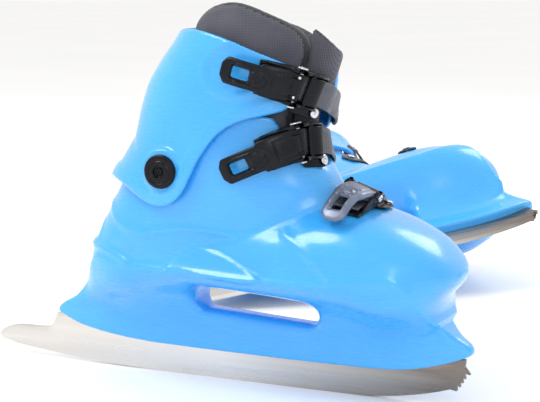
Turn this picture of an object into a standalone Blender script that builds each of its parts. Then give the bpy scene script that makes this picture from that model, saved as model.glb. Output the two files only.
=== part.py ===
"""A pair of hard-shell ice skates: the right one stands on its blade, the left one lies on its side.

Lengths are in millimetres inside the script and become metres where a mesh is made.
Each skate has its own frame: X towards the toe, Y towards the skater's left, Z up, and the origin
on the ice under the flat middle of the blade. The right skate is modelled in that frame, and the
left skate is its mirror image, placed by its own empty.
"""
import math

import bmesh
import bpy
from mathutils import Matrix, Vector, bvhtree

# ---------------------------------------------------------------- driving dimensions (mm)
MM = 0.001
COLLECTION = "ice_skates"

BLADE_THICKNESS = 3.8
SHELL_WALL = 3.6
CUFF_WALL = 3.4
CUFF_GAP = 1.1             # between the shell's ankle and the cuff
LINER_GAP = 0.6            # between the shell and the liner
LINER_WALL = 6.0
FIT_GAP = 0.35             # around pins, rivets and the blade

PIVOT = (-56.0, 151.0)     # cuff hinge, X and Z
PIVOT_RADIUS = 4.0
PIVOT_CAP_RADIUS = 11.5

# Sections of the boot from the top of the shaft round the heel to the toe. Each row is the back
# or sole point (x, z), the front or instep point (x, z), the half width, the roundness of the
# superellipse between them, and how much wider it is at the sole than at the instep.
BOOT_STATIONS = (
    (-81.0, 207.0, 40.0, 205.0, 42.5, 2.2, 0.0),
    (-86.0, 182.0, 37.5, 187.0, 43.5, 2.2, 0.0),
    (-96.0, 157.0, 38.5, 171.0, 45.0, 2.2, 0.0),
    (-111.0, 133.0, 43.0, 157.0, 45.0, 2.2, 0.0),
    (-123.0, 109.0, 49.0, 146.5, 44.5, 2.3, 0.02),
    (-134.0, 85.0, 54.5, 139.0, 43.5, 2.3, 0.04),
    (-122.0, 66.0, 59.5, 134.5, 41.5, 2.4, 0.04),
    (-85.0, 65.0, 65.0, 131.5, 43.5, 2.5, 0.04),
    (-30.0, 67.5, 71.5, 129.3, 47.0, 2.7, 0.04),
    (30.0, 66.5, 80.5, 127.0, 50.5, 2.7, 0.05),
    (75.0, 65.0, 93.0, 123.5, 51.0, 2.6, 0.08),
    (105.0, 67.0, 107.5, 118.0, 46.5, 2.4, 0.08),
    (124.0, 71.0, 121.5, 110.5, 37.0, 2.3, 0.05),
    (135.0, 80.0, 132.5, 100.0, 24.0, 2.2, 0.0),
    (139.5, 87.0, 138.5, 92.0, 9.0, 2.0, 0.0),
)

# Outer face of the cuff: height, back x, front x, half width.
CUFF_STATIONS = (
    (124.0, -120.0, 52.0, 51.5),
    (142.0, -116.0, 46.0, 51.5),
    (157.0, -105.5, 43.0, 50.5),
    (171.0, -97.5, 43.0, 49.0),
    (190.0, -92.0, 43.0, 48.5),
    (207.0, -86.0, 46.5, 48.0),
    (223.0, -76.0, 50.0, 47.0),
    (236.0, -66.0, 53.0, 46.5),
    (250.0, -57.0, 56.0, 46.0),
    (268.0, -49.0, 60.0, 46.0),
)

# Outlines in the XZ plane.
CUFF_BACK = (
    (-28.0, 244.0), (-42.0, 245.0), (-90.0, 241.0), (-130.0, 141.5), (-106.5, 142.5),
    (-92.0, 139.5), (-79.0, 133.0), (-68.0, 128.0), (-56.0, 126.5), (-47.0, 130.5),
    (-40.0, 138.0), (-35.0, 148.0),
)
CUFF_FRONTS = {
    -1: ((-30.0, 159.0), (-20.0, 173.0), (-11.0, 181.0), (2.0, 187.0), (15.0, 190.0),
         (28.0, 193.5), (34.0, 203.0), (38.0, 219.0), (27.0, 224.5), (11.0, 231.5),
         (-10.0, 239.5)),
    1: ((-29.0, 157.0), (-17.0, 166.0), (-3.0, 171.0), (14.0, 173.0), (29.0, 174.5),
        (36.0, 185.0), (39.0, 202.0), (38.0, 219.0), (27.0, 224.5), (11.0, 231.5),
        (-10.0, 239.5)),
}
THROAT_OUTLINE = (
    (-140.0, 163.0), (-60.0, 176.0), (-10.0, 188.0), (16.0, 190.5), (21.0, 181.0),
    (31.0, 166.0), (44.0, 153.0), (57.0, 147.0), (90.0, 150.0), (90.0, 230.0), (-140.0, 230.0),
)
WINDOW_CENTRES = ((-42.0, 60.0, 9.5), (32.0, 55.0, 8.5))   # x, z, radius of the rounded ends
HOLDER_STATIONS = (
    # x, rim z, top z, half width at the rim, half width half way up, half width at the top
    (-169.0, 36.5, 39.0, 4.0, 4.0, 3.6),
    (-163.0, 34.5, 43.5, 6.0, 6.0, 5.5),
    (-150.0, 30.0, 51.0, 8.0, 8.5, 8.0),
    (-138.0, 27.5, 63.0, 9.0, 11.0, 12.0),
    (-122.0, 25.0, 78.0, 9.5, 17.0, 22.0),
    (-96.0, 22.5, 80.0, 9.5, 20.0, 36.0),
    (-60.0, 21.5, 80.0, 9.5, 15.0, 38.0),
    (0.0, 21.0, 80.0, 9.5, 13.0, 42.0),
    (46.0, 21.0, 80.0, 9.5, 16.0, 44.0),
    (85.0, 21.5, 80.0, 9.5, 21.0, 42.0),
    (108.0, 24.0, 78.0, 9.5, 18.0, 34.0),
    (124.0, 28.0, 59.0, 9.0, 11.0, 18.0),
    (135.0, 31.5, 48.5, 8.0, 8.5, 8.0),
    (143.0, 34.5, 43.0, 6.0, 6.0, 5.5),
    (147.0, 36.5, 39.5, 4.0, 4.0, 3.6),
)
BLADE_TOP_EDGE = ((-168.5, 34.2), (-150.0, 36.8), (112.0, 36.8), (120.0, 32.2), (141.2, 32.2))
FLAT_SPAN = (-74.0, 58.0)   # the runner's straight stretch
ROCKER_TAIL = 0.00044
ROCKER_TOE = 0.0021
PICKS = 5
PICK_CENTRE = (116.0, 28.5)
PICK_RADIUS = 28.0

HOLLOW_POINTS = 16
HOLLOW_STATIONS = [i / 17 for i in range(17)]
CAVITY_END = 0.958          # where the hollows close at the toe, along the boot's stations
LINER_END = 0.950
LINER_INSIDE_END = 0.915
FOOTBED_LOW = 79.6
TONGUE_THICKNESS = 5.0
TONGUE_STATIONS = (
    # front x, z, half width, depth of the arc
    (50.5, 246.0, 16.0, 12.0),
    (48.5, 228.0, 17.0, 13.0),
    (43.0, 208.0, 17.0, 13.0),
    (35.0, 191.0, 17.0, 12.0),
    (33.0, 176.0, 17.0, 11.0),
    (34.0, 163.0, 16.0, 10.0),
    (38.0, 153.0, 14.0, 9.0),
)
LINER_TRIM = (
    (-80.0, 245.0), (-60.0, 246.0), (-46.0, 252.0), (-31.0, 259.5), (-16.5, 263.0),
    (-7.0, 263.3), (4.5, 260.5), (19.0, 254.5), (28.0, 250.0), (34.0, 245.0), (37.0, 238.0),
    (37.0, 230.0), (34.0, 221.0), (29.0, 205.0), (25.0, 188.0), (26.0, 174.0), (33.0, 162.0),
    (43.0, 152.0), (52.0, 148.0), (80.0, 150.0), (80.0, 290.0), (-80.0, 290.0),
)

BOSS_FACE = 51.2            # flat face of the cuff's hinge boss, from the middle plane
BOLT_END = 40.6

# Buckles. Lengths along the strap are measured from the lever's hinge, heights from the surface.
TAILS = {"cuff": 48.0, "ankle": 50.0, "toe": 41.0}
ANCHORS = {"cuff": 70.0, "ankle": 78.0, "toe": 54.0}
LEVER_WIDTH = 19.0
LEVER_FLARE = 2.6
LEVER_LOW = 7.8
LEVER_HIGH = 11.2
LEVER_SINK = 2.2
LEVER_BOSS = 3.3
FLOOR_LOW = 0.9
FLOOR_HIGH = 2.4
BASE_BACK = -24.0
BASE_FRONT = 26.0
BASE_INSIDE = 20.2
CHEEK = 1.9
CHEEK_TOP = 11.6
CHEEK_END = 5.0
CHEEK_SPAN = (-10.0, 16.0)
STRAP_WIDTH = 17.5
STRAP_LOW = 3.4
STRAP_HIGH = 5.1
STRAP_REST = 0.9
STRAP_TOP = STRAP_REST + STRAP_HIGH - STRAP_LOW
FLAG_LOW = -17.6
AXLE_HEIGHT = 9.5
AXLE_RADIUS = 1.5
AXLE_HEAD = 2.6
PAWL_AT = 8.0
PAWL_HEIGHT = 8.6
PAWL_PIN = 1.3
RIVET_RADIUS = 2.0
RIVET_HEAD = 3.6
RIVET_DEPTH = 3.0
BASE_RIVET = (21.0, -12.8)

# Where the left skate lies: origin of its frame, and the angles of its placing.
LEFT_ORIGIN = (-16.5, 285.0, 37.6)
LEFT_YAW = 40.7
LEFT_PITCH = -9.94
LEFT_ROLL = -78.8

COLOURS = {
    "shell_plastic": ((0.10, 0.46, 0.88, 1.0), 0.22, 0.0),
    "blade_steel": ((0.72, 0.72, 0.74, 1.0), 0.28, 1.0),
    "black_plastic": ((0.012, 0.012, 0.015, 1.0), 0.2, 0.0),
    "liner_fabric": ((0.075, 0.075, 0.09, 1.0), 0.75, 0.0),
    "footbed_foam": ((0.12, 0.12, 0.13, 1.0), 0.9, 0.0),
    "strap_plastic": ((0.16, 0.16, 0.18, 1.0), 0.4, 0.0),
    "rivet_steel": ((0.75, 0.75, 0.76, 1.0), 0.25, 1.0),
}


# ---------------------------------------------------------------- scene and materials
def clear_scene():
    """Take away whatever the file opened with."""
    for item in list(bpy.data.objects):
        bpy.data.objects.remove(item, do_unlink=True)


def new_collection(name, hidden=False):
    """A collection linked to the scene."""
    found = bpy.data.collections.new(name)
    bpy.context.scene.collection.children.link(found)
    found.hide_render = hidden
    return found


def part_material(node, slot):
    """The Principled material of one part."""
    colour, roughness, metallic = COLOURS[slot]
    made = bpy.data.materials.new(node + "_material")
    made.use_nodes = True
    shader = made.node_tree.nodes["Principled BSDF"]
    shader.inputs["Base Color"].default_value = colour
    shader.inputs["Roughness"].default_value = roughness
    shader.inputs["Metallic"].default_value = metallic
    made.diffuse_color = colour
    return made


# ---------------------------------------------------------------- mesh helpers
def object_from_bmesh(name, bm, collection):
    """Recalculate the normals and make an object of a bmesh in millimetres."""
    bmesh.ops.remove_doubles(bm, verts=bm.verts, dist=0.001)
    bmesh.ops.recalc_face_normals(bm, faces=bm.faces)
    bmesh.ops.scale(bm, vec=(MM, MM, MM), verts=bm.verts)
    mesh = bpy.data.meshes.new(name)
    bm.to_mesh(mesh)
    bm.free()
    made = bpy.data.objects.new(name, mesh)
    collection.objects.link(made)
    return made


def loft(name, rings, collection):
    """A closed body through rings of points that all have the same count."""
    bm = bmesh.new()
    rows = [[bm.verts.new(point) for point in ring] for ring in rings]
    count = len(rows[0])
    for low, high in zip(rows, rows[1:]):
        for i in range(count):
            j = (i + 1) % count
            bm.faces.new((low[i], low[j], high[j], high[i]))
    bm.faces.new(rows[0])
    bm.faces.new(rows[-1])
    return object_from_bmesh(name, bm, collection)


def prism(name, outline, y_low, y_high, collection):
    """An outline in the XZ plane, extruded along Y."""
    rings = [[(x, y, z) for x, z in outline] for y in (y_low, y_high)]
    return loft(name, rings, collection)


def pin(name, centre, axis, radius, length, collection, sides=12):
    """A round pin centred on a point, from the cone primitive."""
    bm = bmesh.new()
    bmesh.ops.create_cone(bm, cap_ends=True, segments=sides, radius1=radius, radius2=radius,
                          depth=length)
    turn = Vector((0, 0, 1)).rotation_difference(Vector(axis)).to_matrix().to_4x4()
    bmesh.ops.transform(bm, matrix=Matrix.Translation(centre) @ turn, verts=bm.verts)
    return object_from_bmesh(name, bm, collection)


def combine(base, tools, operation):
    """Boolean the tools into a base one after another, and keep only the resulting mesh."""
    for tool in tools:
        cut = base.modifiers.new("cut", "BOOLEAN")
        cut.operation = operation
        cut.solver = "EXACT"
        cut.object = tool
        freeze(base)
    return base


def freeze(item):
    """Replace an object's mesh with its evaluated mesh and drop its modifiers."""
    bpy.context.view_layer.update()
    evaluated = item.evaluated_get(bpy.context.evaluated_depsgraph_get())
    mesh = bpy.data.meshes.new_from_object(evaluated)
    item.modifiers.clear()
    item.data = mesh


# ---------------------------------------------------------------- the boot's form
def spline_row(rows, t):
    """A row between the rows of a table, on a Catmull-Rom curve; t runs from 0 to 1."""
    place = t * (len(rows) - 1)
    i = min(int(place), len(rows) - 2)
    f = place - i
    before = rows[max(i - 1, 0)]
    after = rows[min(i + 2, len(rows) - 1)]
    out = []
    for p0, p1, p2, p3 in zip(before, rows[i], rows[i + 1], after):
        out.append(0.5 * (2 * p1 + (p2 - p0) * f + (2 * p0 - 5 * p1 + 4 * p2 - p3) * f * f
                          + (3 * p1 - p0 - 3 * p2 + p3) * f ** 3))
    return out


def signed_power(value, exponent):
    """A power that keeps the sign of its base."""
    return math.copysign(abs(value) ** exponent, value)


def boot_ring(t, inset, points):
    """One closed section of the boot, drawn in by an inset."""
    bx, bz, fx, fz, half_width, roundness, skew = spline_row(BOOT_STATIONS, t)
    back, front = Vector((bx, bz)), Vector((fx, fz))
    along = (front - back).normalized()
    back = back + along * inset
    front = front - along * inset
    middle, half = (back + front) / 2, (front - back) / 2
    power = 2.0 / roundness
    ring = []
    for i in range(points):
        angle = 2 * math.pi * i / points
        u = signed_power(math.cos(angle), power)
        v = signed_power(math.sin(angle), power)
        place = middle + half * u
        y = (half_width - inset) * v * (1.0 - skew * u)
        ring.append((place.x, y, place.y))
    return ring


def boot_body(name, collection, stations=28, points=20):
    """The boot's whole outer form, closed at the toe."""
    rings = [boot_ring(i / (stations - 1), 0.0, points) for i in range(stations)]
    return loft(name, rings, collection)


def hollow_rings(inset, last):
    """Rings of a hollow or a lining: all insets share their stations, so facets stay parallel."""
    rings = [boot_ring(t, inset, HOLLOW_POINTS) for t in HOLLOW_STATIONS if t < last]
    return rings + [boot_ring(last, inset, HOLLOW_POINTS)]


def shaft_ring(z, inset, points):
    """One level section of the cuff's outer face, drawn in by an inset."""
    heights = [row[0] for row in CUFF_STATIONS]
    i = max(k for k in range(len(heights) - 1) if heights[k] <= z)
    t = (i + (z - heights[i]) / (heights[i + 1] - heights[i])) / (len(heights) - 1)
    _, back, front, half_width = spline_row(CUFF_STATIONS, t)
    back, front = back + inset, front - inset
    centre, half = (back + front) / 2, (front - back) / 2
    ring = []
    for i in range(points):
        angle = 2 * math.pi * i / points
        u = signed_power(math.cos(angle), 0.9)
        v = signed_power(math.sin(angle), 0.9)
        ring.append((centre + half * u, (half_width - inset) * v, z))
    return ring


def shaft_body(name, z_low, z_high, inset, collection, levels=9, points=36):
    """The cuff's outer form between two heights, drawn in by an inset."""
    rings = [shaft_ring(z_low + (z_high - z_low) * i / (levels - 1), inset, points)
             for i in range(levels)]
    return loft(name, rings, collection)


# ---------------------------------------------------------------- strap tracks
class Track:
    """The line that a strap and its buckle follow round the boot.

    Its points are found on a body's surface by looking outwards from a centre line. A place on it
    is (u, v, w): u along the strap from the lever's hinge, v across it, w above the surface.
    """

    def __init__(self, body, centre, front, rise, hinge, span, flip):
        tree = bvhtree.BVHTree.FromObject(body, bpy.context.evaluated_depsgraph_get())
        self.tree = tree
        self.points, self.outward = [], []
        steps = int(span[1] - span[0]) // 3
        for i in range(steps + 1):
            degrees = span[0] + (span[1] - span[0]) * i / steps
            angle = math.radians(degrees)
            look = (Vector(front).normalized() * math.cos(angle)
                    + Vector((0, 1, 0)) * math.sin(angle))
            start = Vector(centre) + Vector((0, 0, rise(degrees)))
            hit = tree.ray_cast((start + look * 300) * MM, -look)[0] / MM
            self.points.append(hit)
            self.outward.append(look)
        self.lengths = [0.0]
        for a, b in zip(self.points, self.points[1:]):
            self.lengths.append(self.lengths[-1] + (b - a).length)
        at_hinge = (hinge - span[0]) / (span[1] - span[0]) * steps
        i = int(at_hinge)
        zero = self.lengths[i] + (self.lengths[i + 1] - self.lengths[i]) * (at_hinge - i)
        self.lengths = [length - zero for length in self.lengths]
        self.across = []
        for s, look in zip(self.lengths, self.outward):
            along = self.direction(s)
            level = along.cross(look).normalized() * flip
            sides = [tree.ray_cast((self.read(self.points, s) + level * v + look * 30) * MM, -look)
                     for v in (-8.0, 8.0)]
            self.across.append((sides[1][0] - sides[0][0]).normalized())
        self.flip = flip

    def read(self, values, s):
        """A value between the track's points."""
        last = len(values) - 2
        i = next((k for k in range(last) if self.lengths[k + 1] > s), last)
        f = (s - self.lengths[i]) / (self.lengths[i + 1] - self.lengths[i])
        return values[i].lerp(values[i + 1], f)

    def direction(self, s):
        """The direction along the track."""
        reach = 5.0
        return (self.read(self.points, s + reach) - self.read(self.points, s - reach)).normalized()

    def at(self, u):
        """The surface point, and the directions along, across and away from the surface."""
        reach = 5.0
        point = (self.read(self.points, u - reach) + self.read(self.points, u + reach)
                 + 2 * self.read(self.points, u)) / 4
        along = self.direction(u)
        tilt = sum((self.read(self.across, u + step) for step in (-6, -3, 0, 3, 6)), Vector())
        across = (tilt - along * tilt.dot(along)).normalized()
        away = across.cross(along) * self.flip
        return point, along, across, away

    def place(self, u, v, w):
        """The point of the skate's frame at (u, v, w)."""
        point, _, across, away = self.at(u)
        return point + across * v + away * w

    def drape(self, u, v, w):
        """The point at a height w above the surface that lies under (u, v)."""
        point, _, across, away = self.at(u)
        start = point + across * v + away * 25.0
        hit = self.tree.ray_cast(start * MM, -away)[0]
        return hit / MM + away * w if hit else self.place(u, v, w)

    def rise(self, u, v):
        """How far the surface under (u, v) stands above the track's own tangent plane."""
        return (self.drape(u, v, 0.0) - self.place(u, v, 0.0)).dot(self.at(u)[3])

    def strip(self, name, rows, collection):
        """A closed band through rows of (u, v low, v high, w low, w high)."""
        rings = []
        for u, v0, v1, w0, w1 in rows:
            rings.append([self.place(u, v, w) for v, w in ((v0, w0), (v1, w0), (v1, w1), (v0, w1))])
        return loft(name, rings, collection)

    def sheet(self, name, rows, collection):
        """Like a strip, but lying on the surface right across its width."""
        rings = []
        for u, v0, v1, w0, w1 in rows:
            across = [v0, v0 * 0.67 + v1 * 0.33, v0 * 0.33 + v1 * 0.67, v1]
            rings.append([self.drape(u, v, w0) for v in across]
                         + [self.drape(u, v, w1) for v in reversed(across)])
        return loft(name, rings, collection)

    def cross_pin(self, name, u, w, radius, v0, v1, collection, sides=8):
        """A round pin across the strap at (u, w), from v0 to v1."""
        _, _, across, _ = self.at(u)
        centre = self.place(u, (v0 + v1) / 2, w)
        return pin(name, centre, across, radius, v1 - v0, collection, sides)

    def down_pin(self, name, u, v, radius, w0, w1, collection, sides=8):
        """A round pin through the surface at (u, v), from w0 to w1."""
        _, _, _, away = self.at(u)
        centre = self.drape(u, v, (w0 + w1) / 2)
        return pin(name, centre, away, radius, w1 - w0, collection, sides)


def spread(low, high, step):
    """Values from low to high, about one step apart."""
    count = max(1, round((high - low) / step))
    return [low + (high - low) * i / count for i in range(count + 1)]


# ---------------------------------------------------------------- buckles
def buckle_base(track, name, collection):
    """A curved floor with a flange on one side, and two cheeks for the axle and the catch."""
    half = BASE_INSIDE / 2
    floor_rows = []
    for u in spread(BASE_BACK, BASE_FRONT, 8.0):
        flange = min(1.0, max(0.0, (u - 1.0) / 7.0))
        edge = half + CHEEK * 0.6
        low = -edge + (FLAG_LOW + edge) * flange
        floor_rows.append((u, low, edge, FLOOR_LOW, FLOOR_HIGH))
    base = track.sheet(name, floor_rows, collection)
    cheeks = []
    for side in (-1, 1):
        inner, outer = sorted((side * half, side * (half + CHEEK)))
        rings = []
        for u in spread(CHEEK_SPAN[0], CHEEK_SPAN[1], 7.0):
            middle, reach = sum(CHEEK_SPAN) / 2, (CHEEK_SPAN[1] - CHEEK_SPAN[0]) / 2
            top = CHEEK_TOP - ((u - middle) / reach) ** 4 * (CHEEK_TOP - CHEEK_END)
            foot = (FLOOR_LOW + FLOOR_HIGH) / 2
            ring = []
            for v, raised in ((inner, False), (outer, False), (outer, True), (inner, True)):
                least = track.rise(u, v) + FLOOR_HIGH + 2.5
                ring.append(track.place(u, v, max(top, least)) if raised
                            else track.drape(u, v, foot))
            rings.append(ring)
        cheeks.append(loft("cheek", rings, collection))
    combine(base, cheeks, "UNION")
    holes = [
        track.cross_pin("hole", 0.0, AXLE_HEIGHT, AXLE_RADIUS + FIT_GAP, -20, 20, collection),
        track.cross_pin("hole", PAWL_AT, PAWL_HEIGHT, PAWL_PIN + FIT_GAP, -20, 20, collection),
        track.down_pin("hole", BASE_RIVET[0], BASE_RIVET[1], RIVET_RADIUS + FIT_GAP, -3, 6,
                       collection),
    ]
    combine(base, holes, "DIFFERENCE")
    discard(cheeks + holes)
    return base


def lever(track, name, tail, collection):
    """The ratchet lever: a round boss on the axle and an arched handle with a window."""
    rows = []
    for u in spread(-tail, -2.5, 8.0):
        near = min(1.0, max(0.0, (u + 16.0) / 4.0))
        half = LEVER_WIDTH / 2 + (1 - near) * LEVER_FLARE
        sink = min(1.0, max(0.0, (-u - 16.0) / (tail - 16.0)))
        rows.append((u, -half, half, LEVER_LOW - sink * LEVER_SINK,
                     LEVER_HIGH - sink * (LEVER_SINK - 0.4)))
    handle = track.strip(name, rows, collection)
    half = LEVER_WIDTH / 2
    boss = track.cross_pin("boss", 0.0, AXLE_HEIGHT, LEVER_BOSS, 0.5 - half, half - 0.5,
                           collection)
    combine(handle, [boss], "UNION")
    window_rows = [(u, -5.5, 5.5, 0.0, 16.0) for u in spread(5.5 - tail, 18.0 - tail, 6.0)]
    window = track.strip("window", window_rows, collection)
    bore = track.cross_pin("bore", 0.0, AXLE_HEIGHT, AXLE_RADIUS + FIT_GAP, -20, 20, collection)
    combine(handle, [window, bore], "DIFFERENCE")
    discard([boss, window, bore])
    return handle


def axle(track, name, collection):
    """The lever's steel axle, headed outside both cheeks."""
    reach = BASE_INSIDE / 2 + CHEEK + FIT_GAP
    rod = track.cross_pin(name, 0.0, AXLE_HEIGHT, AXLE_RADIUS, -reach - 0.5, reach + 0.5,
                          collection)
    heads = [track.cross_pin("head", 0.0, AXLE_HEIGHT, AXLE_HEAD, low, low + 1.1, collection)
             for low in (-reach - 1.1, reach)]
    combine(rod, heads, "UNION")
    discard(heads)
    return rod


def pawl(track, name, collection):
    """The sprung catch that holds the strap's teeth, turning on its own trunnions."""
    half = BASE_INSIDE / 2 - 0.8
    rows = [(PAWL_AT + along, -half, half, PAWL_HEIGHT + low, PAWL_HEIGHT + high)
            for along, low, high in ((-2.4, -0.6, 1.6), (0.0, -1.6, 2.4), (4.0, -2.4, 2.2),
                                     (7.5, -1.2, 1.4))]
    body = track.strip(name, rows, collection)
    reach = BASE_INSIDE / 2 + CHEEK + 0.2
    trunnion = track.cross_pin("trunnion", PAWL_AT, PAWL_HEIGHT, PAWL_PIN, -reach, reach,
                               collection)
    combine(body, [trunnion], "UNION")
    discard([trunnion])
    return body


def strap(track, name, anchor, collection):
    """The ladder strap, from its loose end under the lever to its anchor."""
    half = STRAP_WIDTH / 2
    rings = []
    for u in spread(-20.0, anchor + 7.0, 7.0):
        settle = min(1.0, max(0.0, (u - BASE_FRONT - 2.0) / 12.0))
        side = half - (3.0 if u > anchor + 6.0 else 0.0)
        thick = STRAP_HIGH - STRAP_LOW
        ring = []
        for v, up in ((-side, 0.0), (0.0, 0.0), (side, 0.0), (side, thick), (0.0, thick),
                      (-side, thick)):
            flat = max(STRAP_LOW, track.rise(u, v) + FLOOR_HIGH + 0.7) + up
            resting = track.drape(u, v, STRAP_REST + up)
            ring.append(track.place(u, v, flat).lerp(resting, settle))
        rings.append(ring)
    band = loft(name, rings, collection)
    hole = track.down_pin("hole", anchor, 0.0, RIVET_RADIUS + FIT_GAP, -2, 9, collection)
    combine(band, [hole], "DIFFERENCE")
    discard([hole])
    return band


def rivet(track, name, u, v, top, collection):
    """A headed rivet whose shank reaches into the wall below."""
    shank = track.down_pin(name, u, v, RIVET_RADIUS, -RIVET_DEPTH, top + 1.2, collection)
    head = track.down_pin("head", u, v, RIVET_HEAD, top + 0.7, top + 2.0, collection)
    combine(shank, [head], "UNION")
    discard([head])
    return shank


def rivet_holes(track, anchor, collection):
    """The holes that a buckle's two rivets need in the wall that carries them."""
    return [track.down_pin("hole", u, v, RIVET_RADIUS + FIT_GAP, -9, 4, collection)
            for u, v in ((anchor, 0.0), BASE_RIVET)]


def discard(items):
    """Remove construction objects that have done their work."""
    for item in items:
        bpy.data.objects.remove(item, do_unlink=True)


# ---------------------------------------------------------------- the other parts
def blade(collection):
    """The steel runner: flat in the middle, rockered at both ends, with toe picks in front."""
    outline = [(-171.0, 34.0), (-178.0, 22.5), (-203.0, 22.0), (-217.0, 17.5), (-221.0, 13.5),
               (-217.5, 10.0)]
    for x in spread(-196.0, -84.0, 28.0):
        outline.append((x, ROCKER_TAIL * (FLAT_SPAN[0] - x) ** 2))
    outline += [(FLAT_SPAN[0], 0.0), (FLAT_SPAN[1], 0.0)]
    for x in spread(70.0, 122.0, 13.0):
        outline.append((x, ROCKER_TOE * (x - FLAT_SPAN[1]) ** 2))
    outline.append((128.0, 12.6))
    for i in range(PICKS):
        turn = math.radians(-52.0 + i * 13.0)
        centre = Vector((PICK_CENTRE[0], PICK_CENTRE[1]))
        tip = centre + Vector((math.cos(turn), math.sin(turn))) * PICK_RADIUS
        turn += math.radians(2.5)
        root = centre + Vector((math.cos(turn), math.sin(turn))) * (PICK_RADIUS - 3.0)
        outline += [(tip.x, tip.y), (root.x, root.y)]
    outline.append((141.0, 26.5))
    outline += reversed(BLADE_TOP_EDGE)
    return prism("blade", outline, -BLADE_THICKNESS / 2, BLADE_THICKNESS / 2, collection)


def holder(collection):
    """The blade holder under the boot, wide under the sole and thin at both tips."""
    rings = []
    for t in spread(0.0, 1.0, 1.0 / 17):
        x, rim, top, low_half, middle_half, top_half = spline_row(HOLDER_STATIONS, t)
        band = min(12.0, (top - rim) * 0.4)
        waist = rim + band + (top - rim - band) * 0.45
        side = [(low_half - 1.2, rim), (low_half, rim + band / 4), (low_half, rim + band),
                (middle_half, waist), (top_half, top)]
        ring = [(x, y, z) for y, z in side] + [(x, -y, z) for y, z in reversed(side)]
        rings.append(ring)
    return loft("holder", rings, collection)


def stadium(ends, steps=8):
    """An outline with two round ends of their own radius."""
    (x0, z0, r0), (x1, z1, r1) = ends
    lean = math.atan2(z1 - z0, x1 - x0)
    outline = []
    for x, z, radius, start in ((x0, z0, r0, 90), (x1, z1, r1, -90)):
        for i in range(steps + 1):
            angle = lean + math.radians(start + 180.0 * i / steps)
            outline.append((x + radius * math.cos(angle), z + radius * math.sin(angle)))
    return outline


def shell(tracks, collection):
    """The lower shell and its blade holder, one moulding."""
    body = boot_body("shell", collection)
    stand = holder(collection)
    combine(body, [stand], "UNION")
    cavity = loft("cavity", hollow_rings(SHELL_WALL, CAVITY_END), collection)
    mouth = prism("mouth", THROAT_OUTLINE, -70, 70, collection)
    window = prism("window", stadium(WINDOW_CENTRES), -70, 70, collection)
    half = BLADE_THICKNESS / 2 + FIT_GAP
    roof = [(x, z + 2 * FIT_GAP) for x, z in BLADE_TOP_EDGE]
    roof = [(roof[0][0] - 12.0, roof[0][1] - 1.0)] + roof + [(roof[-1][0] + 8.0, roof[-1][1])]
    outline = roof + [(roof[-1][0], 10.0), (roof[0][0], 10.0)]
    slot = prism("slot", outline, -half, half, collection)
    bolt = pin("bolt_hole", (PIVOT[0], 0, PIVOT[1]), (0, 1, 0), PIVOT_RADIUS + FIT_GAP, 160,
               collection)
    cutters = [cavity, mouth, window, slot, bolt]
    for kind in ("ankle", "toe"):
        cutters += rivet_holes(tracks[kind], ANCHORS[kind], collection)
    combine(body, cutters, "DIFFERENCE")
    discard([stand] + cutters)
    return body


def cuff_waste(side):
    """The outline of everything round the cuff on one side, cut open along the top edge."""
    edge = CUFF_BACK + CUFF_FRONTS[side]
    frame = ((edge[0][0], 300.0), (200.0, 300.0), (200.0, 60.0), (-200.0, 60.0), (-200.0, 300.0),
             (edge[0][0] - 0.2, 300.0))
    return frame + ((edge[0][0] - 0.2, edge[0][1]),) + edge[1:] + (edge[0],)


def cuff(tracks, collection):
    """The hinged cuff, open in front, with a boss round each hinge bolt."""
    body = shaft_body("cuff", 124.5, 262.0, 0.0, collection, 11, 26)
    bosses = [pin("boss", (PIVOT[0], side * (BOSS_FACE - 5.0), PIVOT[1]), (0, 1, 0), 15.0, 10.0,
                  collection, 16) for side in (-1, 1)]
    combine(body, bosses, "UNION")
    waste = [prism("waste", cuff_waste(side), *sorted((0, side * 80)), collection)
             for side in (-1, 1)]
    combine(body, waste, "DIFFERENCE")
    inner = shaft_body("inner", 124.2, 262.5, CUFF_WALL, collection, 11, 26)
    bolt = pin("bolt_hole", (PIVOT[0], 0, PIVOT[1]), (0, 1, 0), PIVOT_RADIUS + FIT_GAP, 160,
               collection)
    cutters = [inner, bolt] + rivet_holes(tracks["cuff"], ANCHORS["cuff"], collection)
    combine(body, cutters, "DIFFERENCE")
    discard(bosses + waste + cutters)
    return body


def pivot_bolt(name, side, collection):
    """A hinge bolt with its black cap."""
    length = BOSS_FACE + 0.6 - BOLT_END
    shank = pin(name, (PIVOT[0], side * (BOLT_END + length / 2), PIVOT[1]), (0, 1, 0),
                PIVOT_RADIUS, length, collection)
    cap = pin("cap", (PIVOT[0], side * (BOSS_FACE + FIT_GAP + 2.0), PIVOT[1]), (0, 1, 0),
              PIVOT_CAP_RADIUS, 4.0, collection, 20)
    combine(shank, [cap], "UNION")
    discard([cap])
    return shank


def lined_body(name, inset, last, collection):
    """The boot's form with its shaft carried up to the liner's top."""
    rings = [shaft_ring(z, CUFF_WALL + CUFF_GAP + inset, HOLLOW_POINTS)
             for z in (266.0, 248.0, 232.0, 216.0)]
    return loft(name, rings + hollow_rings(inset, last), collection)


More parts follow.
